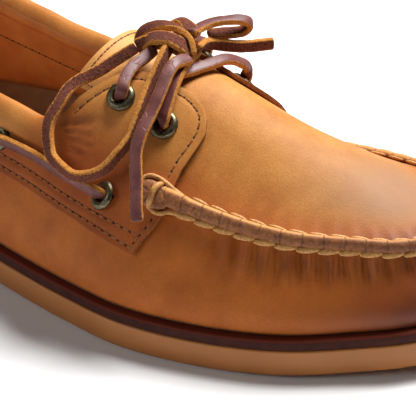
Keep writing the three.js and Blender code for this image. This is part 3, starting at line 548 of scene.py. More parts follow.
INSOLE_RIM = [
    lambda k: (INSOLE_INSET, sole_top(heel_x(k)) + GAP),
    lambda k: (INSOLE_INSET, footbed_top(k) + 0.8 * MM),
    lambda k: (INSOLE_INSET + 0.3 * MM, footbed_top(k) + 1.3 * MM),
    lambda k: (INSOLE_INSET + 0.9 * MM, footbed_top(k) + 1.3 * MM),
    lambda k: (INSOLE_INSET + 2.6 * MM, footbed_top(k) + 0.5 * MM),
    lambda k: (INSOLE_INSET + 5 * MM, footbed_top(k, 0.85)),
    lambda k: (INSOLE_INSET + 12 * MM, footbed_top(k, 0.4)),
]
insole = made(slab("insole_footbed", INSOLE_RIM), "insole_footbed", "insole_leather", footbed_leather())
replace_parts(insole, "insole")


# Upper: nubuck wall, vamp and plug over a smooth leather lining, lasted as one shell, burnished round the toe.
# The hand-sewn seam gathers the vamp into small puckers, one to each stitch.
def spot_distance(points, line):
    """The distance of each point from the nearest point of a line."""
    near = np.full(len(points), 1e9)
    for n in range(0, len(points), 4000):
        gap = points[n:n + 4000, None, :] - line[None, :, :]
        near[n:n + 4000] = np.sqrt((gap**2).sum(2).min(1))
    return near


def over_form(stops, step, height=0.0):
    """A line over the form through places (k, t), as points a step apart."""
    fine = curve_through([(k, t, 0) for k, t in stops], 0.02)
    line = off(fine[:, 0], fine[:, 1], height)
    return curve_through(line, step)


SEAM_STITCH = 6.7 * MM
SEAM_FROM = 8.1
seam_k = np.linspace(SEAM_FROM - 0.6, LOOP - SEAM_FROM + 0.6, 1500)
seam_line = last(seam_k, 1.0)
seam_reach = np.concatenate([[0], np.cumsum(np.linalg.norm(np.diff(seam_line, axis=0), axis=1))])


def along_seam(k):
    return np.interp(np.mod(k, LOOP), seam_k, seam_reach)


def puckers(k, t):
    """How far the gathered leather stands out at each place."""
    section = section_of(k)
    on = smooth(8.55, 9.2, section)
    waves = np.cos(2 * math.pi * along_seam(k) / SEAM_STITCH)
    drift = np.sin(along_seam(k) * 310) * 0.35 + 0.75
    vamp = smooth(0.45, 0.88, t) * (t <= 0.96) * 0.85 * MM * drift
    plug = (1 - smooth(1.07, 1.3, t)) * (t >= 1.0) * 0.2 * MM
    return waves * on * (vamp + plug)


THROAT = np.array([(0, 1), (6, 1), (6.34, 1.06), (6.9, 1.64), (7.2, 1.76), (7.5, 1.82), (7.66, 2), (13, 2)])
EYELETS = {
    "eyelet_top": (7.0, 1.39), "eyelet_front": (7.72, 1.4), "eyelet_side_1": (7.4, 0.8),
    "eyelet_side_2": (5.48, 0.775), "eyelet_side_3": (3.4, 0.775), "eyelet_side_4": (1.7, 0.775),
}
SIDES = {"outer": 1, "inner": -1}
EYELET_HOLE = 3.3 * MM
eyelet_axes = {}
for name, (section, t) in EYELETS.items():
    for side, sign in SIDES.items():
        k = np.array([sign * section])
        normal = normal_at(k, t)[0]
        if name == "eyelet_side_1":  # pulled round towards the heel by its lace
            normal = unit(normal[None] + (-0.42, 0, 0))[0]
        eyelet_axes[f"{name}_{side}"] = (last(k, t)[0], normal)


def punch(bm):
    """Takes out the leather inside each eyelet's hole."""
    gone = set()
    for foot, normal in eyelet_axes.values():
        for face in bm.faces:
            gap = np.array(face.calc_center_median()) - foot
            reach = gap @ normal
            if abs(reach) < 8 * MM and np.linalg.norm(gap - normal * reach) < EYELET_HOLE:
                gone.add(face)
    bmesh.ops.delete(bm, geom=list(gone), context="FACES")


def nubuck(name, light="#D79143", dark="#B97228", low="#E6BD82"):
    """Oiled nubuck, buffed cowhide: a fine even nap, soft mottling, burnt red-brown polish worked in at the toe."""
    material, tree, shader = blank(name)
    at = add(tree, "TexCoord").outputs["Object"]
    # Mottling about 14 mm across, nap about 0.5 mm, pores about 0.8 mm
    mottle = add(tree, "TexNoise", {"Vector": at, "Scale": 70.0, "Detail": 5.0, "Roughness": 0.6}).outputs["Fac"]
    colour = add(tree, "ValToRGB", {"Fac": mottle}, [(0.3, dark), (0.7, light)]).outputs["Color"]
    nap = add(tree, "TexNoise", {"Vector": at, "Scale": 2000.0, "Detail": 4.0, "Roughness": 0.65}).outputs["Fac"]
    speck = add(tree, "MapRange", {
        "Value": nap, "From Min": 0.3, "From Max": 0.7, "To Min": 0.82, "To Max": 1.15}).outputs[0]
    colour = add(tree, "MixRGB", {"Fac": 1.0, "Color1": colour, "Color2": speck}, blend_type="MULTIPLY").outputs[0]
    # Painted shade: where deep is up, the colour is multiplied by low, a darker and redder tone, for the walls and
    # other parts that face away from the overhead light.
    deep = add(tree, "Attribute", attribute_name="deep").outputs["Fac"]
    painted_shade_tone = add(
        tree, "MixRGB", {"Fac": 1.0, "Color1": colour, "Color2": linear(low)}, blend_type="MULTIPLY").outputs[0]
    colour = add(tree, "MixRGB", {"Fac": deep, "Color1": colour, "Color2": painted_shade_tone}).outputs[0]
    # Painted sheen: a pinkish-grey reflection of the overhead light, laid on top of the plug
    painted_sheen = add(tree, "Attribute", attribute_name="painted_sheen").outputs["Fac"]
    colour = add(tree, "MixRGB", {"Fac": painted_sheen, "Color1": colour, "Color2": linear("#A67C5C")}).outputs[0]
    burn = add(tree, "Attribute", attribute_name="burnish").outputs["Fac"]
    worn = add(tree, "Math", {0: mottle, 1: 0.5}, operation="SUBTRACT").outputs[0]
    burnt = add(tree, "Math", {0: worn, 1: 0.5, 2: burn}, operation="MULTIPLY_ADD").outputs[0]
    mask = add(tree, "MapRange", {"Value": burnt, "From Min": 0.05}, interpolation_type="SMOOTHSTEP").outputs[0]
    burnt_stops = [(0.0, "#B5652E"), (0.5, "#8C4420"), (1.0, "#6A2F19")]
    burnt_tone = add(tree, "ValToRGB", {"Fac": mask}, burnt_stops).outputs["Color"]
    colour = add(tree, "MixRGB", {"Fac": mask, "Color1": colour, "Color2": burnt_tone}).outputs[0]
    # Streaks about 1.5 mm apart, drawn down from the seam's puckers: fine creases in the bump, with painted shade in
    # them
    pull = add(tree, "Attribute", attribute_name="pull").outputs["Fac"]
    down = add(tree, "Mapping", {"Vector": add(tree, "UVMap").outputs[0], "Scale": (520.0, 42.0, 1.0)}).outputs[0]
    streak = add(tree, "TexNoise", {"Vector": down, "Scale": 1.0, "Detail": 4.0, "Roughness": 0.6}).outputs["Fac"]
    line = add(tree, "MapRange", {"Value": streak, "From Min": 0.44, "From Max": 0.7}).outputs[0]
    streak_crease_shade = add(tree, "Math", {0: line, 1: pull}, operation="MULTIPLY", use_clamp=True).outputs[0]
    colour = add(tree, "MixRGB", {"Fac": streak_crease_shade, "Color1": colour, "Color2": linear("#74391A")}).outputs[0]
    # Painted shade in the creases and in the groove at the upper's foot; along the saddle's edges it darkens the colour
    # too.
    painted_shade_and_dark_edge = add(tree, "Attribute", attribute_name="painted_shade_and_dark_edge").outputs["Fac"]
    colour = add(tree, "MixRGB", {"Fac": painted_shade_and_dark_edge, "Color1": colour, "Color2": linear("#6E3A18")}).outputs[0]
    pores = add(tree, "TexVoronoi", {"Vector": at, "Scale": 1250.0, "Randomness": 1.0}).outputs[0]
    height = add(tree, "Math", {0: pores, 1: 0.5, 2: nap}, operation="MULTIPLY_ADD").outputs[0]
    height = add(tree, "Math", {0: streak_crease_shade, 1: -1.6, 2: height}, operation="MULTIPLY_ADD").outputs[0]
    bump = add(tree, "Bump", {"Height": height, "Strength": 0.32, "Distance": 0.0002}).outputs[0]
    rough = add(tree, "MapRange", {"Value": mask, "To Min": 0.62, "To Max": 0.42}).outputs[0]
    tree.links.new(colour, shader.inputs["Base Color"])
    tree.links.new(rough, shader.inputs["Roughness"])
    tree.links.new(bump, shader.inputs["Normal"])
    shader.inputs["Specular IOR Level"].default_value = 0.32
    shader.inputs["Sheen Weight"].default_value = 0.08
    shader.inputs["Sheen Roughness"].default_value = 0.45
    shader.inputs["Sheen Tint"].default_value = (1.0, 0.86, 0.78, 1)
    return material


def lining_leather():
    """Unlined side of the upper: smooth drum-dyed lining leather, orange-brown, slightly shiny."""
    material, tree, shader = blank("lining_leather")
    at = add(tree, "TexCoord").outputs["Object"]
    mottle = add(tree, "TexNoise", {"Vector": at, "Scale": 90.0, "Detail": 4.0}).outputs["Fac"]
    colour = add(tree, "ValToRGB", {"Fac": mottle}, [(0.3, "#C67434"), (0.7, "#DC9048")]).outputs["Color"]
    grain = add(tree, "TexVoronoi", {"Vector": at, "Scale": 1100.0}).outputs[0]
    bump = add(tree, "Bump", {"Height": grain, "Strength": 0.2, "Distance": 0.0002}).outputs[0]
    tree.links.new(colour, shader.inputs["Base Color"])
    tree.links.new(bump, shader.inputs["Normal"])
    shader.inputs["Roughness"].default_value = 0.6
    return material


def raw_edge():
    """The cut edge of the hide: dense fibre, red-brown, darker where dye has soaked in."""
    material, tree, shader = blank("raw_leather_edge")
    at = add(tree, "TexCoord").outputs["Object"]
    fibre = add(tree, "TexNoise", {"Vector": at, "Scale": 1400.0, "Detail": 4.0, "Roughness": 0.7}).outputs["Fac"]
    colour = add(tree, "ValToRGB", {"Fac": fibre}, [(0.32, "#6E3616"), (0.7, "#B9733A")]).outputs["Color"]
    bump = add(tree, "Bump", {"Height": fibre, "Strength": 0.7, "Distance": 0.0003}).outputs[0]
    tree.links.new(colour, shader.inputs["Base Color"])
    tree.links.new(bump, shader.inputs["Normal"])
    shader.inputs["Roughness"].default_value = 0.85
    return material


def burnish(k, t, points):
    """Where the toe is polished dark: the vamp's lower front, and a band of the plug beside the seam."""
    x = (points[:, 0] - ORIGIN[0]) / LENGTH
    wall = smooth(0.78, 1.02, x) * (1.05 - 0.35 * smooth(0.0, 0.9, t))
    plug = smooth(0.76, 0.98, x) * (0.2 + 0.65 * (1 - smooth(1.0, 1.55, t)))
    return np.clip(np.where(t <= 1, wall, plug), 0, 1)


PER_ROW = 24
UPPER_ROWS = 56


def upper_place(u, v):
    k = u * LOOP
    t = v * np.interp(section_of(k), THROAT[:, 0], THROAT[:, 1])
    points = off(k, t, puckers(k, t))
    section = section_of(k)
    # Where the streaks run under the seam: fine creases with painted shade in them.
    pull = smooth(8.7, 9.8, section) * smooth(0.45, 0.8, t) * (t < 0.97)
    # Painted sheen on top of the plug, towards the toe.
    painted_sheen = 0.8 * smooth(9.0, 12.0, section) * smooth(1.1, 1.6, t)
    # Marks: painted shade on the walls and the plug's lower band, painted shade in the groove at the foot of the upper,
    # and a painted sheen on top of the plug towards the toe.
    marks = {"burnish": burnish(k, t, points), "painted_shade_and_dark_edge": 1 - smooth(0.0, 0.035, t), "deep": 1 - smooth(0.98, 1.5, t),
             "pull": pull, "painted_sheen": painted_sheen}
    return points, marks, np.stack([u * 0.75, v * 0.11], 1)


upper_form = sheet("upper_nubuck", LOOP * PER_ROW, UPPER_ROWS, upper_place, closed_u=True)
punch(upper_form)
upper_nubuck = nubuck("nubuck_upper")
lining = lining_leather()
cut_leather = raw_edge()
upper = made(upper_form, "upper_nubuck", "upper_leather", upper_nubuck, lining, cut_leather)


def walled(piece, thickness, bevel=0.0):
    """Gives a sheet of leather its thickness inwards, with lining inside and the raw cut at its edges."""
    wall = piece.modifiers.new("thickness", "SOLIDIFY")
    wall.thickness = thickness
    wall.offset = -1
    wall.material_offset = 1
    wall.material_offset_rim = 2
    if bevel:
        rounded = piece.modifiers.new("rounded", "BEVEL")
        rounded.width = bevel
        rounded.segments = 2
        rounded.limit_method = "ANGLE"
        rounded.angle_limit = math.radians(50)
    return piece


walled(upper, WALL)
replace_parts(upper, "upper")

# Saddle: the eyestays and the band round the heel, cut from the same nubuck, laid on the upper and sewn down.
# Two rows of machine stitches follow the band, and one the eyestay's edge. The leather dips along them.
SADDLE_GAP = GAP + 0.2 * MM
BAND_LOW = np.array([(0, 0.58), (4, 0.56), (7.04, 0.56), (7.4, 0.54), (8.4, 0.49)])
BAND_HIGH = np.array([(0, 0.865), (6.0, 0.865), (6.06, 0.98), (6.16, 1.01), (6.34, 1.1), (6.44, 1.23), (6.6, 1.38),
                      (6.84, 1.6), (7.1, 1.69), (7.5, 1.73), (8.4, 1.75)])
FRONT_EDGE = np.array([(0, 8.0), (0.1, 8.04), (0.2, 8.12), (0.33, 8.2), (0.55, 8.2), (0.73, 8.28), (0.81, 8.3),
                       (0.9, 8.22), (0.95, 8.1), (1, 7.84)])
STITCH_ROWS = {
    "band_upper": [(0, 0.695), (2, 0.69), (4, 0.68), (6, 0.675), (7, 0.675), (7.55, 0.67), (7.93, 0.66)],
    "band_lower": [(0, 0.635), (2, 0.63), (4, 0.605), (6, 0.6), (7, 0.6), (7.5, 0.585), (7.94, 0.555)],
    "front_edge": [(7.95, 0.56), (8.0, 0.66), (8.07, 0.78), (8.1, 0.9)],
    "eyestay": [(8.08, 1.12), (8.1, 1.24), (8.16, 1.38), (8.18, 1.5), (8.12, 1.6), (7.98, 1.65), (7.8, 1.672),
                (7.5, 1.665), (7.15, 1.62), (6.92, 1.53), (6.72, 1.36), (6.58, 1.23), (6.5, 1.14)],
}
SADDLE_FRONT = 8.0
INNER_REACH = 0.2  # sections that it reaches farther forward on the inner side


def mirrored(stops, sign):
    """The places of one side; on the inner side the front ones lie as much farther forward as the edge does."""
    return [(sign * (k + (sign < 0) * INNER_REACH * float(smooth(7.2, 7.9, k))), t) for k, t in stops]


saddle_rows = [over_form(mirrored(stops, sign), 1.1 * MM, SADDLE_GAP + OVERLAY)
               for stops in STITCH_ROWS.values() for sign in SIDES.values()]
all_stitches = np.vstack(saddle_rows)


def smooth_stops(table, x):
    """The table's values, with its corners eased."""
    spread = (-0.05, -0.025, 0, 0.025, 0.05)
    return sum(np.interp(x + s, table[:, 0], table[:, 1]) for s in spread) / len(spread)


CREASES = [  # soft folds of the eyestay where it bends down from the collar: ends, width and depth in millimetres
    ((6.38, 1.02), (6.74, 1.1), 1.2, 0.44), ((6.42, 0.985), (6.84, 1.055), 1.0, 0.41),
    ((6.46, 0.95), (6.92, 1.01), 1.0, 0.34), ((6.5, 0.91), (6.82, 0.94), 1.2, 0.37),
    ((6.58, 1.08), (6.78, 1.13), 1.0, 0.34), ((6.56, 1.1), (6.6, 0.97), 0.9, 0.24),
    ((6.66, 1.12), (6.72, 0.99), 0.9, 0.22), ((6.76, 1.13), (6.84, 1.0), 0.9, 0.20),
    ((6.7, 1.14), (7.05, 1.18), 1.6, 0.27),
]


def creased(points, creases, height=SADDLE_GAP + OVERLAY, signs=(1, -1)):
    """How deep the listed folds are at each point; they lie this high over the form."""
    depth = np.zeros(len(points))
    for a, b, width, deep in creases:
        for sign in signs:
            line = over_form(mirrored([a, ((a[0] + b[0]) / 2, (a[1] + b[1]) / 2 + 0.015), b], sign), 1 * MM, height)
            near = spot_distance(points, line)
            depth += deep * MM * np.exp(-(near / (width * MM)) ** 2)
    return depth


def saddle_place(u, v):
    w = 2 * u - 1
    share = np.abs(w)
    back = share * SADDLE_FRONT
    front = np.interp(v, FRONT_EDGE[:, 0], FRONT_EDGE[:, 1]) + INNER_REACH * (w < 0)
    section = back + (front - SADDLE_FRONT) * smooth(0.82, 1, share)
    low = smooth_stops(BAND_LOW, section)
    high = np.interp(section, BAND_HIGH[:, 0], BAND_HIGH[:, 1])
    t = low + (high - low) * v
    k = np.sign(w) * section
    base = off(k, t, SADDLE_GAP + OVERLAY)
    dip = 0.28 * MM * np.exp(-(spot_distance(base, all_stitches) / (0.9 * MM)) ** 2)
    fold = creased(base, CREASES)
    points = base - normal_at(k, t) * (dip + fold)[:, None]
    edge_near = np.minimum(v, 1 - v) * (high - low) * 60
    # Marks: darker along the saddle's edges, painted shade in its creases, and painted shade on its lower part.
    marks = {"burnish": 0 * k, "painted_shade_and_dark_edge": 0.25 * np.exp(-(edge_near / 0.8) ** 2) + 0.5 * fold / MM,
             "deep": 1 - smooth(0.95, 1.38, t)}
    return points, marks, np.stack([u * 0.6, v * 0.05], 1)


saddle_form = sheet("saddle_nubuck", 440, 80, saddle_place)
punch(saddle_form)
# low is the darker tone of the painted shade; the saddle's is darker than the upper's.
saddle_leather = nubuck("nubuck_saddle", low="#CE9D5E")
saddle = made(saddle_form, "saddle_nubuck", "upper_leather", saddle_leather, cut_leather, cut_leather)
walled(saddle, OVERLAY, 0.4 * MM)
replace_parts(saddle, "saddle")

# Collar: nubuck wrapped over a foam roll and turned into the lining, sewn along its lower edge.
# It thins out where the eyestays rise.
COLLAR_LINING, COLLAR_CREST = 3.2 * MM, 2.2 * MM
COLLAR_THIN_FROM = 5.1


ON_SADDLE = SADDLE_GAP + OVERLAY
COLLAR_RUN_OUT = 6.9  # section where the roll has sunk into the eyestay
ROLL_LOW = 0.842  # share of the form where the roll's lower edge hangs


def collar_place(u, v):
    k = (2 * u - 1) * COLLAR_RUN_OUT
    section = np.abs(k)
    pad = 1 - smooth(COLLAR_THIN_FROM, COLLAR_RUN_OUT - 0.15, section)
    hang = 1 - smooth(5.6, COLLAR_RUN_OUT, section)
    brim = np.minimum(np.interp(section, THROAT[:, 0], THROAT[:, 1]), 1.05) - 0.02 * smooth(6, COLLAR_RUN_OUT, section)
    crest = GAP + (COLLAR_CREST - GAP) * pad
    low = ON_SADDLE - 0.3 * MM
    inner = -WALL - GAP
    ring = [
        (-1, low, 0), (-1.03, low + 1.3 * MM * hang, 0), (-0.85, low + 2.5 * MM * hang, 0),
        (-0.4, low + 2.9 * MM * hang, 0), (0, low + 1.5 * MM * pad - 0.3 * MM, 0.45 * crest),
        (0, 0.2 * MM, crest + 0.55 * MM * pad), (0, -WALL, crest + 0.5 * MM * pad),
        (0, -WALL - 0.8 * COLLAR_LINING * pad, 0.2 * crest), (-0.4, inner - COLLAR_LINING * pad, 0),
        (-0.85, inner - 1 * MM * pad, 0), (-0.85, inner, 0), (0, inner, GAP), (0, GAP, GAP), (-1, GAP, 0),
    ]
    which = np.rint(v * len(ring)).astype(int) % len(ring)
    points = np.zeros((len(k), 3))
    for n, (down, distance, rise) in enumerate(ring):
        pick = which == n
        spot = (brim + down * (brim - ROLL_LOW))[pick]
        points[pick] = off(k[pick], spot, np.broadcast_to(distance, k.shape)[pick])
        points[pick, 2] += np.broadcast_to(rise, k.shape)[pick]
    soft = np.array([noise.noise(Vector(p) * 90) for p in points])
    points[:, 2] += soft * 0.5 * MM * pad
    lined = np.isin(which, (7, 8, 9, 10, 11)).astype(float)
    fold = creased(points, CREASES, ON_SADDLE + 0.7 * MM) * np.isin(which, (2, 3, 4, 5))
    points -= normal_at(k, 0.95) * fold[:, None]
    # Marks: painted shade in the creases, and painted shade that deepens towards the eyestay.
    marks = {"lined": lined, "burnish": 0 * k, "painted_shade_and_dark_edge": 0.5 * fold / MM, "deep": 0.25 + 0.75 * smooth(5.6, 6.5, section)}
    return points, marks, np.stack([u * 0.4, v * 0.03], 1)


collar_form = sheet("collar_roll", 170, 14, collar_place, closed_v=True, caps=True)
# The collar's low is the same darker tone of painted shade as the saddle's.
collar = made(collar_form, "collar_roll", "upper_leather", nubuck("nubuck_collar", low="#CE9D5E"), lining)
collar_lined = collar.data.attributes["lined"].data
for face in collar.data.polygons:
    if all(collar_lined[n].value > 0.5 for n in face.vertices):
        face.material_index = 1
soften = collar.modifiers.new("soft", "SUBSURF")
soften.levels = soften.render_levels = 2
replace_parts(collar, "collar")

# Moccasin seam: the vamp's edge folded up against the plug's, raw side out, and sewn through by hand.
# Thick waxed thread makes a row of ovals below the ridge and another behind its top.
RIDGE_OFF_SADDLE, RIDGE_DOWN = 8.34, 8.52
SEAM_RING = [  # share of the form, distance off it, rise, and how much of it is the pale cut edge
    (0.93, 0.0, 0.0, 0), (0.925, 0.7, 0.0, 0), (0.935, 1.6, 0.0, 0), (0.965, 2.2, 0.1, 0), (0.99, 2.3, 0.4, 0),
    (1.0, 1.9, 0.95, 0.1), (1.008, 1.5, 1.25, 1), (1.02, 0.9, 1.25, 1), (1.035, 0.6, 0.6, 0.2), (1.045, 0.1, 0.1, 0),
    (0.99, 0.1, 0.0, 0),
]


def seam_base(k):
    section = np.minimum(k, LOOP - k - INNER_REACH)
    return GAP + 0.1 * MM + (OVERLAY + SADDLE_GAP) * (1 - smooth(RIDGE_OFF_SADDLE, RIDGE_DOWN, section))


def seam_place(u, v):
    k = SEAM_FROM + u * (LOOP - INNER_REACH - 2 * SEAM_FROM)
    which = np.rint(v * len(SEAM_RING)).astype(int) % len(SEAM_RING)
    base = seam_base(k)
    gather = 1 + 0.07 * np.cos(2 * math.pi * along_seam(k) / SEAM_STITCH)
    inner = k > TOE_ROW
    section = np.minimum(k, LOOP - k - INNER_REACH)
    end = 1 - np.where(inner, 0.75, 0.3) * (1 - smooth(SEAM_FROM, SEAM_FROM + np.where(inner, 1.1, 0.3), section))
    points = np.zeros((len(k), 3))
    pale = np.zeros(len(k))
    for n, (t, distance, rise, cut) in enumerate(SEAM_RING):
        pick = which == n
        points[pick] = off(k[pick], t, base[pick] + distance * MM * (gather * end)[pick])
        points[pick, 2] += rise * MM * end[pick]
        pale[pick] = cut
    marks = {"pale_cut": pale, "burnish": burnish(k, np.full(len(k), 0.95), points)}
    return points, marks, np.stack([along_seam(k), v * 10 * MM], 1)


def seam_leather():
    """The hide's raw side at the folded edge: red-brown, fibrous, slit where each stitch bites, the slits dark with
    painted shade, its cut rim orange.
    """
    material, tree, shader = blank("seam_leather")
    at = add(tree, "TexCoord").outputs["Object"]
    run = add(tree, "UVMap").outputs[0]
    fibre = add(tree, "TexNoise", {"Vector": at, "Scale": 900.0, "Detail": 5.0, "Roughness": 0.65}).outputs["Fac"]
    colour = add(tree, "ValToRGB", {"Fac": fibre}, [(0.32, "#6C391E"), (0.68, "#B26E36")]).outputs["Color"]
    pale = add(tree, "Attribute", attribute_name="pale_cut").outputs["Fac"]
    rim = add(tree, "MixRGB", {"Fac": pale, "Color1": colour, "Color2": linear("#DA9448")}).outputs[0]
    # Slits: one to each stitch, across the ridge, drawn as painted shade and a dip in the bump
    place = add(tree, "SeparateXYZ", {0: run}).outputs["X"]
    turn = add(tree, "Math", {0: place, 1: SEAM_STITCH}, operation="DIVIDE").outputs[0]
    share = add(tree, "Math", {0: turn}, operation="FRACT").outputs[0]
    middle = add(tree, "Math", {0: share, 1: 0.5}, operation="SUBTRACT").outputs[0]
    gap = add(tree, "Math", {0: middle}, operation="ABSOLUTE").outputs[0]
    ragged = add(tree, "Math", {0: fibre, 1: 0.16, 2: gap}, operation="MULTIPLY_ADD").outputs[0]
    slit = add(tree, "MapRange", {
        "Value": ragged, "From Min": 0.07, "From Max": 0.13, "To Min": 0.6, "To Max": 0.0}).outputs[0]
    colour = add(tree, "MixRGB", {"Fac": slit, "Color1": rim, "Color2": linear("#3E1E12")}).outputs[0]
    burn = add(tree, "Attribute", attribute_name="burnish").outputs["Fac"]
    faint = add(tree, "Math", {0: burn, 1: 0.6}, operation="MULTIPLY").outputs[0]
    colour = add(tree, "MixRGB", {"Fac": faint, "Color1": colour, "Color2": linear("#5A281A")}).outputs[0]
    height = add(tree, "Math", {0: slit, 1: -1.5, 2: fibre}, operation="MULTIPLY_ADD").outputs[0]
    bump = add(tree, "Bump", {"Height": height, "Strength": 0.6, "Distance": 0.0004}).outputs[0]
    tree.links.new(colour, shader.inputs["Base Color"])
    tree.links.new(bump, shader.inputs["Normal"])
    shader.inputs["Roughness"].default_value = 0.62
    return material


raw_seam = seam_leather()
seam_form = sheet("seam_ridge", 420, len(SEAM_RING), seam_place, closed_v=True, caps=True)
seam = made(seam_form, "seam_ridge", "upper_leather", raw_seam)
soften = seam.modifiers.new("soft", "SUBSURF")
soften.levels = soften.render_levels = 1
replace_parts(seam, "moc_seam")


def waxed_thread(name, light, dark, ply):
    """Waxed polyester thread, twisted: cream-tan, a low sheen, its plies lying along it."""
    material, tree, shader = blank(name)
    at = add(tree, "TexCoord").outputs["Object"]
    fibre = add(tree, "TexNoise", {"Vector": at, "Scale": ply, "Detail": 3.0}).outputs["Fac"]
    colour = add(tree, "ValToRGB", {"Fac": fibre}, [(0.35, dark), (0.65, light)]).outputs["Color"]
    bump = add(tree, "Bump", {"Height": fibre, "Strength": 0.5, "Distance": 0.0002}).outputs[0]
    tree.links.new(colour, shader.inputs["Base Color"])
    tree.links.new(bump, shader.inputs["Normal"])
    shader.inputs["Roughness"].default_value = 0.6
    return material


def ovals(name, centres, ways, ups, size, slot, material, tilt=0.0, rounds=(10, 7)):
    """A row of stitches as small ovals: size is length, width and height."""
    bm = bmesh.new()
    for centre, way, up in zip(centres, ways, ups):
        side = np.cross(up, way)
        turn = Matrix((tuple(way), tuple(side), tuple(up))).transposed().to_4x4()
        turn = Matrix.Translation(Vector(centre)) @ turn @ Matrix.Rotation(tilt, 4, "Z")
        shape = Matrix.Diagonal((size[0] / 2, size[1] / 2, size[2] / 2, 1))
        bmesh.ops.create_uvsphere(bm, u_segments=rounds[0], v_segments=rounds[1], radius=1, matrix=turn @ shape)
    return made(bm, name, slot, material)


def row_on_seam(t, height, shift, rise=0.0):
    """Places of one row of the seam's stitches, with the way they run and the way they face."""
    start, end = along_seam(np.array([SEAM_FROM + 0.12, LOOP - SEAM_FROM - INNER_REACH - 0.12]))
    count = int((end - start) / SEAM_STITCH)
    at = start + (np.arange(1, count) + shift) * SEAM_STITCH
    k = np.interp(at, seam_reach, seam_k)
    points = off(k, t, seam_base(k) + height)
    points[:, 2] += rise * (k < TOE_ROW)
    ways = unit(last(k + STEP, t) - last(k - STEP, t))
    ups = normal_at(k, t)
    ups = unit(ups - ways * (ups * ways).sum(1)[:, None])
    return points, ways, ups


seam_thread = waxed_thread("seam_thread", "#DFA65E", "#B57A3A", 1500.0)
ovals("seam_stitches_lower", *row_on_seam(0.912, 0.9 * MM, 0.0), (7.7 * MM, 2.3 * MM, 1.5 * MM), "upper_leather",
      seam_thread, tilt=math.radians(8), rounds=(14, 9))
ovals("seam_stitches_upper", *row_on_seam(1.04, 0.7 * MM, 0.5, 0.6 * MM), (6.4 * MM, 1.4 * MM, 1.1 * MM),
      "upper_leather", seam_thread, tilt=math.radians(-5), rounds=(14, 9))

# Seam ends: on each side the ridge starts under a butt of folded leather, held by one stitch wrapped over it.
# The thread runs out of it in a loop above and a loop below.
BUTT_HIGH = 2.9 * MM
END_THREADS = {  # section, share of the form and height in millimetres of each place
    "wrap": ([(7.99, 0.865, 1.6), (8.0, 0.885, 3.2), (8.01, 0.92, 4.7), (8.02, 0.965, 5.5), (8.03, 1.0, 5.3),
              (8.05, 1.03, 4.1), (8.06, 1.045, 2.4)], 1.05),
    "loop_above": ([(7.84, 0.96, 4.0), (7.79, 0.99, 3.3), (7.8, 1.03, 2.9), (7.88, 1.06, 2.8), (8.0, 1.068, 2.8),
                    (8.12, 1.06, 2.7), (8.24, 1.045, 2.3), (8.4, 1.035, 1.8)], 0.8),
    "loop_below": ([(7.98, 0.885, 2.8), (8.06, 0.862, 2.7), (8.16, 0.865, 2.6), (8.26, 0.9, 1.9), (8.42, 0.912, 1.3),
                    (8.55, 0.905, 1.1)], 0.85),
}


def seam_end(name, sign):
    ahead = INNER_REACH * (sign < 0)

    def butt(u, v):
        turn, spread, high = 2 * math.pi * u, np.sin(math.pi * v) ** 0.7, np.cos(math.pi * v)
        k = sign * (7.99 + ahead + 0.25 * spread * np.cos(turn))
        t = 0.955 + 0.09 * spread * np.sin(turn)
        points = off(k, t, ON_SADDLE - 0.3 * MM + BUTT_HIGH * (1 if sign > 0 else 0.15) * np.maximum(high, 0) ** 0.6)
        return points, {"pale_cut": 0 * u, "burnish": 0 * u}, np.stack([u * 24 * MM, v * 10 * MM], 1)

    form = sheet("seam_butt_" + name, 20, 12, butt, closed_u=True)
    bmesh.ops.recalc_face_normals(form, faces=form.faces)
    made(form, "seam_butt_" + name, "upper_leather", raw_seam)
    for thread, (stops, radius) in END_THREADS.items():
        fine = curve_through([(sign * (k + ahead), t, high) for k, t, high in stops], 0.02)
        line = curve_through(off(fine[:, 0], fine[:, 1], fine[:, 2] * MM * (1 if sign > 0 else 0.62)), 0.7 * MM)
        tangent = unit(np.gradient(line, axis=0))
        side = unit(np.cross(tangent, normal_at(np.full(len(line), sign * 8.0), 0.96)))
        above = np.cross(side, tangent)

        def place(u, v):
            n = np.rint(v * (len(line) - 1)).astype(int)
            turn = (2 * math.pi * u)[:, None]
            thick = radius * MM * (1 - 0.5 * np.abs(2 * v - 1)[:, None] ** 6)
            return line[n] + (side[n] * np.cos(turn) + above[n] * np.sin(turn)) * thick, {}, np.stack([u, v], 1)

        tube = sheet(f"seam_{thread}_{name}", 10, len(line) - 1, place, closed_u=True, caps=True)
        made(tube, f"seam_{thread}_{name}", "upper_leather", seam_thread)


for name, sign in SIDES.items():
    seam_end(name, sign)

# Tongue: a single piece of nubuck, arched over the instep, with one row of stitches inside its edge.
TONGUE_THICK = 3 * MM
TONGUE_BACK = 0.02
TONGUE_SECTIONS = np.array([  # along, high, arch, half angle in degrees
    (0.690, 0.850, 0.315, 26), (0.655, 0.895, 0.259, 38), (0.612, 0.962, 0.241, 46), (0.580, 1.028, 0.222, 54),
    (0.552, 1.085, 0.204, 62), (0.536, 1.125, 0.190, 70),
])


def tongue_at(across, lean):
    """A point of the tongue: across from -1 at the outer side to 1, lean from 0 at the front to 1 at the top."""
    place = lean * (len(TONGUE_SECTIONS) - 1)
    along, high, arch, spread = (np.interp(place, range(len(TONGUE_SECTIONS)), TONGUE_SECTIONS[:, n]) for n in range(4))
    a = np.radians(spread * across)
    x = (along - TONGUE_BACK * lean * across**2) * LENGTH
    z = sole_top(along * LENGTH) + high * COLLAR_RISE - arch * BALL_WIDTH * (1 - np.cos(a))
    return np.stack([x, arch * BALL_WIDTH * np.sin(a), z], 1) + ORIGIN


def tongue_place(u, v):
    points = tongue_at(2 * u - 1, v)
    return points, {"burnish": 0 * u, "painted_shade_and_dark_edge": 0 * u}, np.stack([u * 0.05, v * 0.05], 1)


tongue_form = sheet("tongue_nubuck", 60, 60, tongue_place)
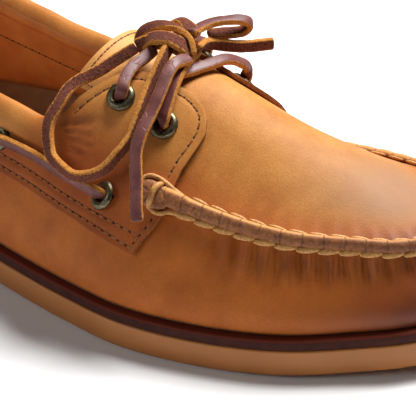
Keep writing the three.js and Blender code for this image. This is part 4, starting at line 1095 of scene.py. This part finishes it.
# Painted light: the tongue's nubuck is a lighter copy of the upper's, for the light on its top, which faces the
# overhead light.
lit_tongue_leather = nubuck("nubuck_tongue_lit", "#F2B064", "#E49C50")
tongue = made(tongue_form, "tongue_nubuck", "upper_leather", lit_tongue_leather, lining, cut_leather)
walled(tongue, TONGUE_THICK, 0.5 * MM)
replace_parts(tongue, "tongue")
tongue_edge = [(-0.93, 0.1), (-0.92, 0.5), (-0.9, 0.85), (-0.82, 0.91), (-0.4, 0.925), (0, 0.93), (0.4, 0.925),
               (0.82, 0.91), (0.9, 0.85), (0.92, 0.5), (0.93, 0.1)]
tongue_row = curve_through([(a, b, 0) for a, b in tongue_edge], 0.01)
STITCH = 3.3 * MM
tongue_row = curve_through(tongue_at(tongue_row[:, 0], tongue_row[:, 1]), STITCH)

# Machine stitches: bonded thread, pulled into the nubuck, with a dark oval at each end, the painted shade of its needle
# hole.
# Their length is that of the eyestay's front row in the photo; the band's own are about 2.9 mm.
fine_thread = waxed_thread("fine_thread", "#A66A30", "#7C4A20", 2500.0)
hole_shade_material, _, hole_shader = blank("needle_hole_shade")
hole_shader.inputs["Base Color"].default_value = linear("#35190C")
hole_shader.inputs["Roughness"].default_value = 0.9


def machine_row(name, line, ups, slot="upper_leather"):
    """One row: short threads along a line, and between each two a dark oval, the painted shade of a needle hole."""
    ways = unit(np.gradient(line, axis=0))
    ups = unit(ups - ways * (ups * ways).sum(1)[:, None])
    ovals(name, line, ways, ups, (2.3 * MM, 0.7 * MM, 0.6 * MM), slot, fine_thread, rounds=(6, 5))
    # Dark ovals between the threads: painted shade in the needle holes.
    middles = (line[1:] + line[:-1]) / 2
    ovals(name + "_holes", middles, ways[1:], ups[1:], (1.3 * MM, 0.75 * MM, 0.4 * MM), slot, hole_shade_material,
          rounds=(6, 4))


for row, stops in STITCH_ROWS.items():
    for side, sign in SIDES.items():
        fine = curve_through([(k, t, 0) for k, t in mirrored(stops, sign)], 0.02)
        surface = off(fine[:, 0], fine[:, 1], SADDLE_GAP + OVERLAY - 0.2 * MM)
        line = curve_through(surface, STITCH)
        nearest = ((line[:, None] - surface[None]) ** 2).sum(2).argmin(1)
        ups = normal_at(fine[nearest, 0], fine[nearest, 1])
        machine_row(f"stitches_{row}_{side}", line, ups)
        if row == "band_lower":  # this row comes through to the lining
            machine_row(f"stitches_lining_{side}", off(fine[nearest, 0], fine[nearest, 1], -WALL - 0.05 * MM), -ups)
machine_row("stitches_tongue", tongue_row, np.broadcast_to((-0.35, 0, 1.0), tongue_row.shape) +
            tongue_row * (0, 20, 0))

# Eyelets: two-part pressed brass, antiqued, a domed ring outside and a turned-over tube inside.
EYELET_BASE = SADDLE_GAP + OVERLAY + 0.25 * MM
EYELET_END = -WALL - 0.4 * MM
EYELET_PROFILE = [  # radius and height in millimetres; heights from the ring's base, or from the tube's end
    (2.5, None, -0.2), (2.5, 0.9, None), (2.62, 1.15, None), (3.0, 1.35, None), (3.7, 1.4, None), (4.3, 1.15, None),
    (4.8, 0.6, None), (5.0, 0.15, None), (4.95, 0.0, None), (2.95, 0.0, None), (2.95, None, 0.3), (4.0, None, 0.2),
    (4.2, None, -0.1), (4.0, None, -0.4), (2.7, None, -0.5),
]


def antique_brass():
    """Stamped brass, chemically darkened and rubbed back: grey-green in the hollows, pale gold on the crest."""
    material, tree, shader = blank("eyelet_brass")
    at = add(tree, "TexCoord").outputs["Object"]
    patina = add(tree, "TexNoise", {"Vector": at, "Scale": 1500.0, "Detail": 4.0, "Roughness": 0.7}).outputs["Fac"]
    patina_stops = [(0.34, "#3B3729"), (0.5, "#6E674F"), (0.7, "#9C947A")]
    colour = add(tree, "ValToRGB", {"Fac": patina}, patina_stops).outputs["Color"]
    rough = add(tree, "MapRange", {"Value": patina, "To Min": 0.55, "To Max": 0.25}).outputs[0]
    bump = add(tree, "Bump", {"Height": patina, "Strength": 0.4, "Distance": 0.0002}).outputs[0]
    tree.links.new(colour, shader.inputs["Base Color"])
    tree.links.new(rough, shader.inputs["Roughness"])
    tree.links.new(bump, shader.inputs["Normal"])
    shader.inputs["Metallic"].default_value = 1.0
    return material


brass = antique_brass()
for name, (foot, normal) in eyelet_axes.items():
    bm = bmesh.new()
    ring = []
    for radius, high, low in EYELET_PROFILE:
        z = EYELET_BASE + high * MM if low is None else EYELET_END + low * MM
        ring.append(bm.verts.new((radius * MM, 0, z)))
    edges = [bm.edges.new((a, b)) for a, b in zip(ring, ring[1:] + ring[:1])]
    bmesh.ops.spin(bm, geom=ring + edges, cent=(0, 0, 0), axis=(0, 0, 1), dvec=(0, 0, 0), angle=2 * math.pi,
                   steps=36, use_merge=True)
    bmesh.ops.recalc_face_normals(bm, faces=bm.faces)
    turn = Vector((0, 0, 1)).rotation_difference(Vector(normal)).to_matrix().to_4x4()
    bmesh.ops.transform(bm, matrix=Matrix.Translation(Vector(foot)) @ turn, verts=bm.verts)
    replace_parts(made(bm, name + "_brass", "eyelet_brass", brass), name)


# Lace through the eyelets: up out of each bore, over the saddle, and down again.
def beside(name, height):
    foot, normal = eyelet_axes[name]
    return foot + normal * height * MM


def threaded(name, nodes, line, look):
    piece = strip(name, line, look)
    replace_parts(piece, *nodes)
    return piece


def camera_look(line, facing):
    table = np.array(facing, float)
    share = np.linspace(0, 1, len(line))
    return np.stack([np.interp(share, table[:, 0], table[:, n]) for n in (1, 2, 3)], 1) @ VIEW_AXES


BARS = {  # start eyelet, where it ends inside, the plain solid's route, and where the grain side looks
    "lace_cross_over": (
        "eyelet_front_outer", "eyelet_top_inner", "lace_cross",
        [(197, -24, 69.3), (196, -21, 72.2), (194, -15, 76.8), (191, -7, 79), (189, 0, 79.5), (187, 6, 78)],
        [(0, -0.5, 0.1, 0.85), (1, -0.5, 0.3, 0.8)]),
    "lace_cross_under": (
        "eyelet_front_inner", "eyelet_top_outer", "lace_cross",
        [(197, 21, 70.5), (196, 18, 73.5), (195, 12, 76.6), (194, 4, 77.4), (192, -4, 77.4), (190, -10, 77.1)],
        [(0, 0.1, 0.6, 0.8), (1, 0, 0.6, 0.8)]),
    "lace_rise_outer_strip": (
        "eyelet_top_outer", None, "lace_rise_outer",
        [(180, -24.5, 74.6), (178.5, -21, 77), (177.5, -16, 79), (177.8, -10, 80.4), (178.4, -5.5, 82)],
        [(0, 0, 0.1, 1), (1, -0.2, 0.1, 1)]),
    "lace_rise_inner_strip": (
        "eyelet_top_inner", None, "lace_rise_inner",
        [(179, 22, 73.4), (178.5, 18, 76.5), (178, 13, 80), (179, 8, 83), (180.3, 3.6, 86)],
        [(0, 0, 0.5, 0.85), (1, 0, 0.5, 0.85)]),
}
for name, (start, finish, node, route, facing) in BARS.items():
    points = [beside(start, -7), beside(start, -2), beside(start, 2.2), *heel_frame(route)]
    if finish:
        points += [beside(finish, -5.5)]
    line = curve_through(points, 1.1 * MM)
    threaded(name, [node], line, camera_look(line, facing))

LACE_LOW = (SADDLE_GAP + OVERLAY) / MM + 0.3 + LACE_THICK / MM / 2
LACE_ON_RING = EYELET_BASE / MM + 1.4 + LACE_THICK / MM / 2
for node, (first, second) in {"lace_side_front": ("eyelet_side_1", "eyelet_side_2"),
                              "lace_side_back": ("eyelet_side_3", "eyelet_side_4")}.items():
    for side, sign in SIDES.items():
        (ka, ta), (kb, tb) = EYELETS[first], EYELETS[second]
        share = np.array([0, 0, 0.012, 0.05, 0.09, 0.16, 0.3, 0.5, 0.7, 0.84, 0.91, 0.95, 0.988, 1, 1])
        height = np.array([-6, -1, 2.4, LACE_ON_RING, LACE_ON_RING, LACE_LOW + 0.4] + [LACE_LOW] * 3
                          + [LACE_LOW + 0.4, LACE_ON_RING, LACE_ON_RING, 2.4, -1, -6]) * MM
        k, t = sign * (ka + (kb - ka) * share), ta + (tb - ta) * share
        line = curve_through(off(k, t, height), 1.3 * MM)
        spread = np.interp(np.linspace(0, 1, len(line)), np.linspace(0, 1, len(share)), share)
        look = normal_at(sign * (ka + (kb - ka) * spread), ta + (tb - ta) * spread) - (0, 0, 0.7)
        threaded(f"{node}_{side}_strip", [f"{node}_{side}"], line, look)

# Stage: pale floor and soft studio light, large and overhead, as a shoe shop photographs.
floor_mesh = bmesh.new()
bmesh.ops.create_grid(floor_mesh, x_segments=1, y_segments=1, size=3)
floor_data = bpy.data.meshes.new("floor")
floor_mesh.to_mesh(floor_data)
floor_mesh.free()
floor = bpy.data.objects.new("floor", floor_data)
bpy.context.scene.collection.objects.link(floor)
floor.location.z = -0.0002
paper, _, paper_shader = blank("paper_floor")
paper_shader.inputs["Base Color"].default_value = linear("#F6F6F6")
paper_shader.inputs["Roughness"].default_value = 0.9
floor_data.materials.append(paper)

world = bpy.data.worlds.new("studio")
bpy.context.scene.world = world
world.use_nodes = True
world.node_tree.nodes["Background"].inputs["Color"].default_value = (1, 1, 1, 1)
world.node_tree.nodes["Background"].inputs["Strength"].default_value = 0.05

LIGHTS = {  # place, what it points at, size, watts
    "overhead": ((0.08, 0.51, 0.96), (0.05, 0, 0.04), 0.4, 21.4),
    "fill": ((-0.45, -1.05, 0.66), (0.05, 0, 0.04), 0.7, 3.5),
}
for name, (place, aim, size, watts) in LIGHTS.items():
    light = bpy.data.lights.new(name, "AREA")
    light.size = size
    light.energy = watts
    lamp = bpy.data.objects.new(name, light)
    bpy.context.scene.collection.objects.link(lamp)
    lamp.location = place
    lamp.rotation_euler = (Vector(place) - Vector(aim)).to_track_quat("Z", "Y").to_euler()
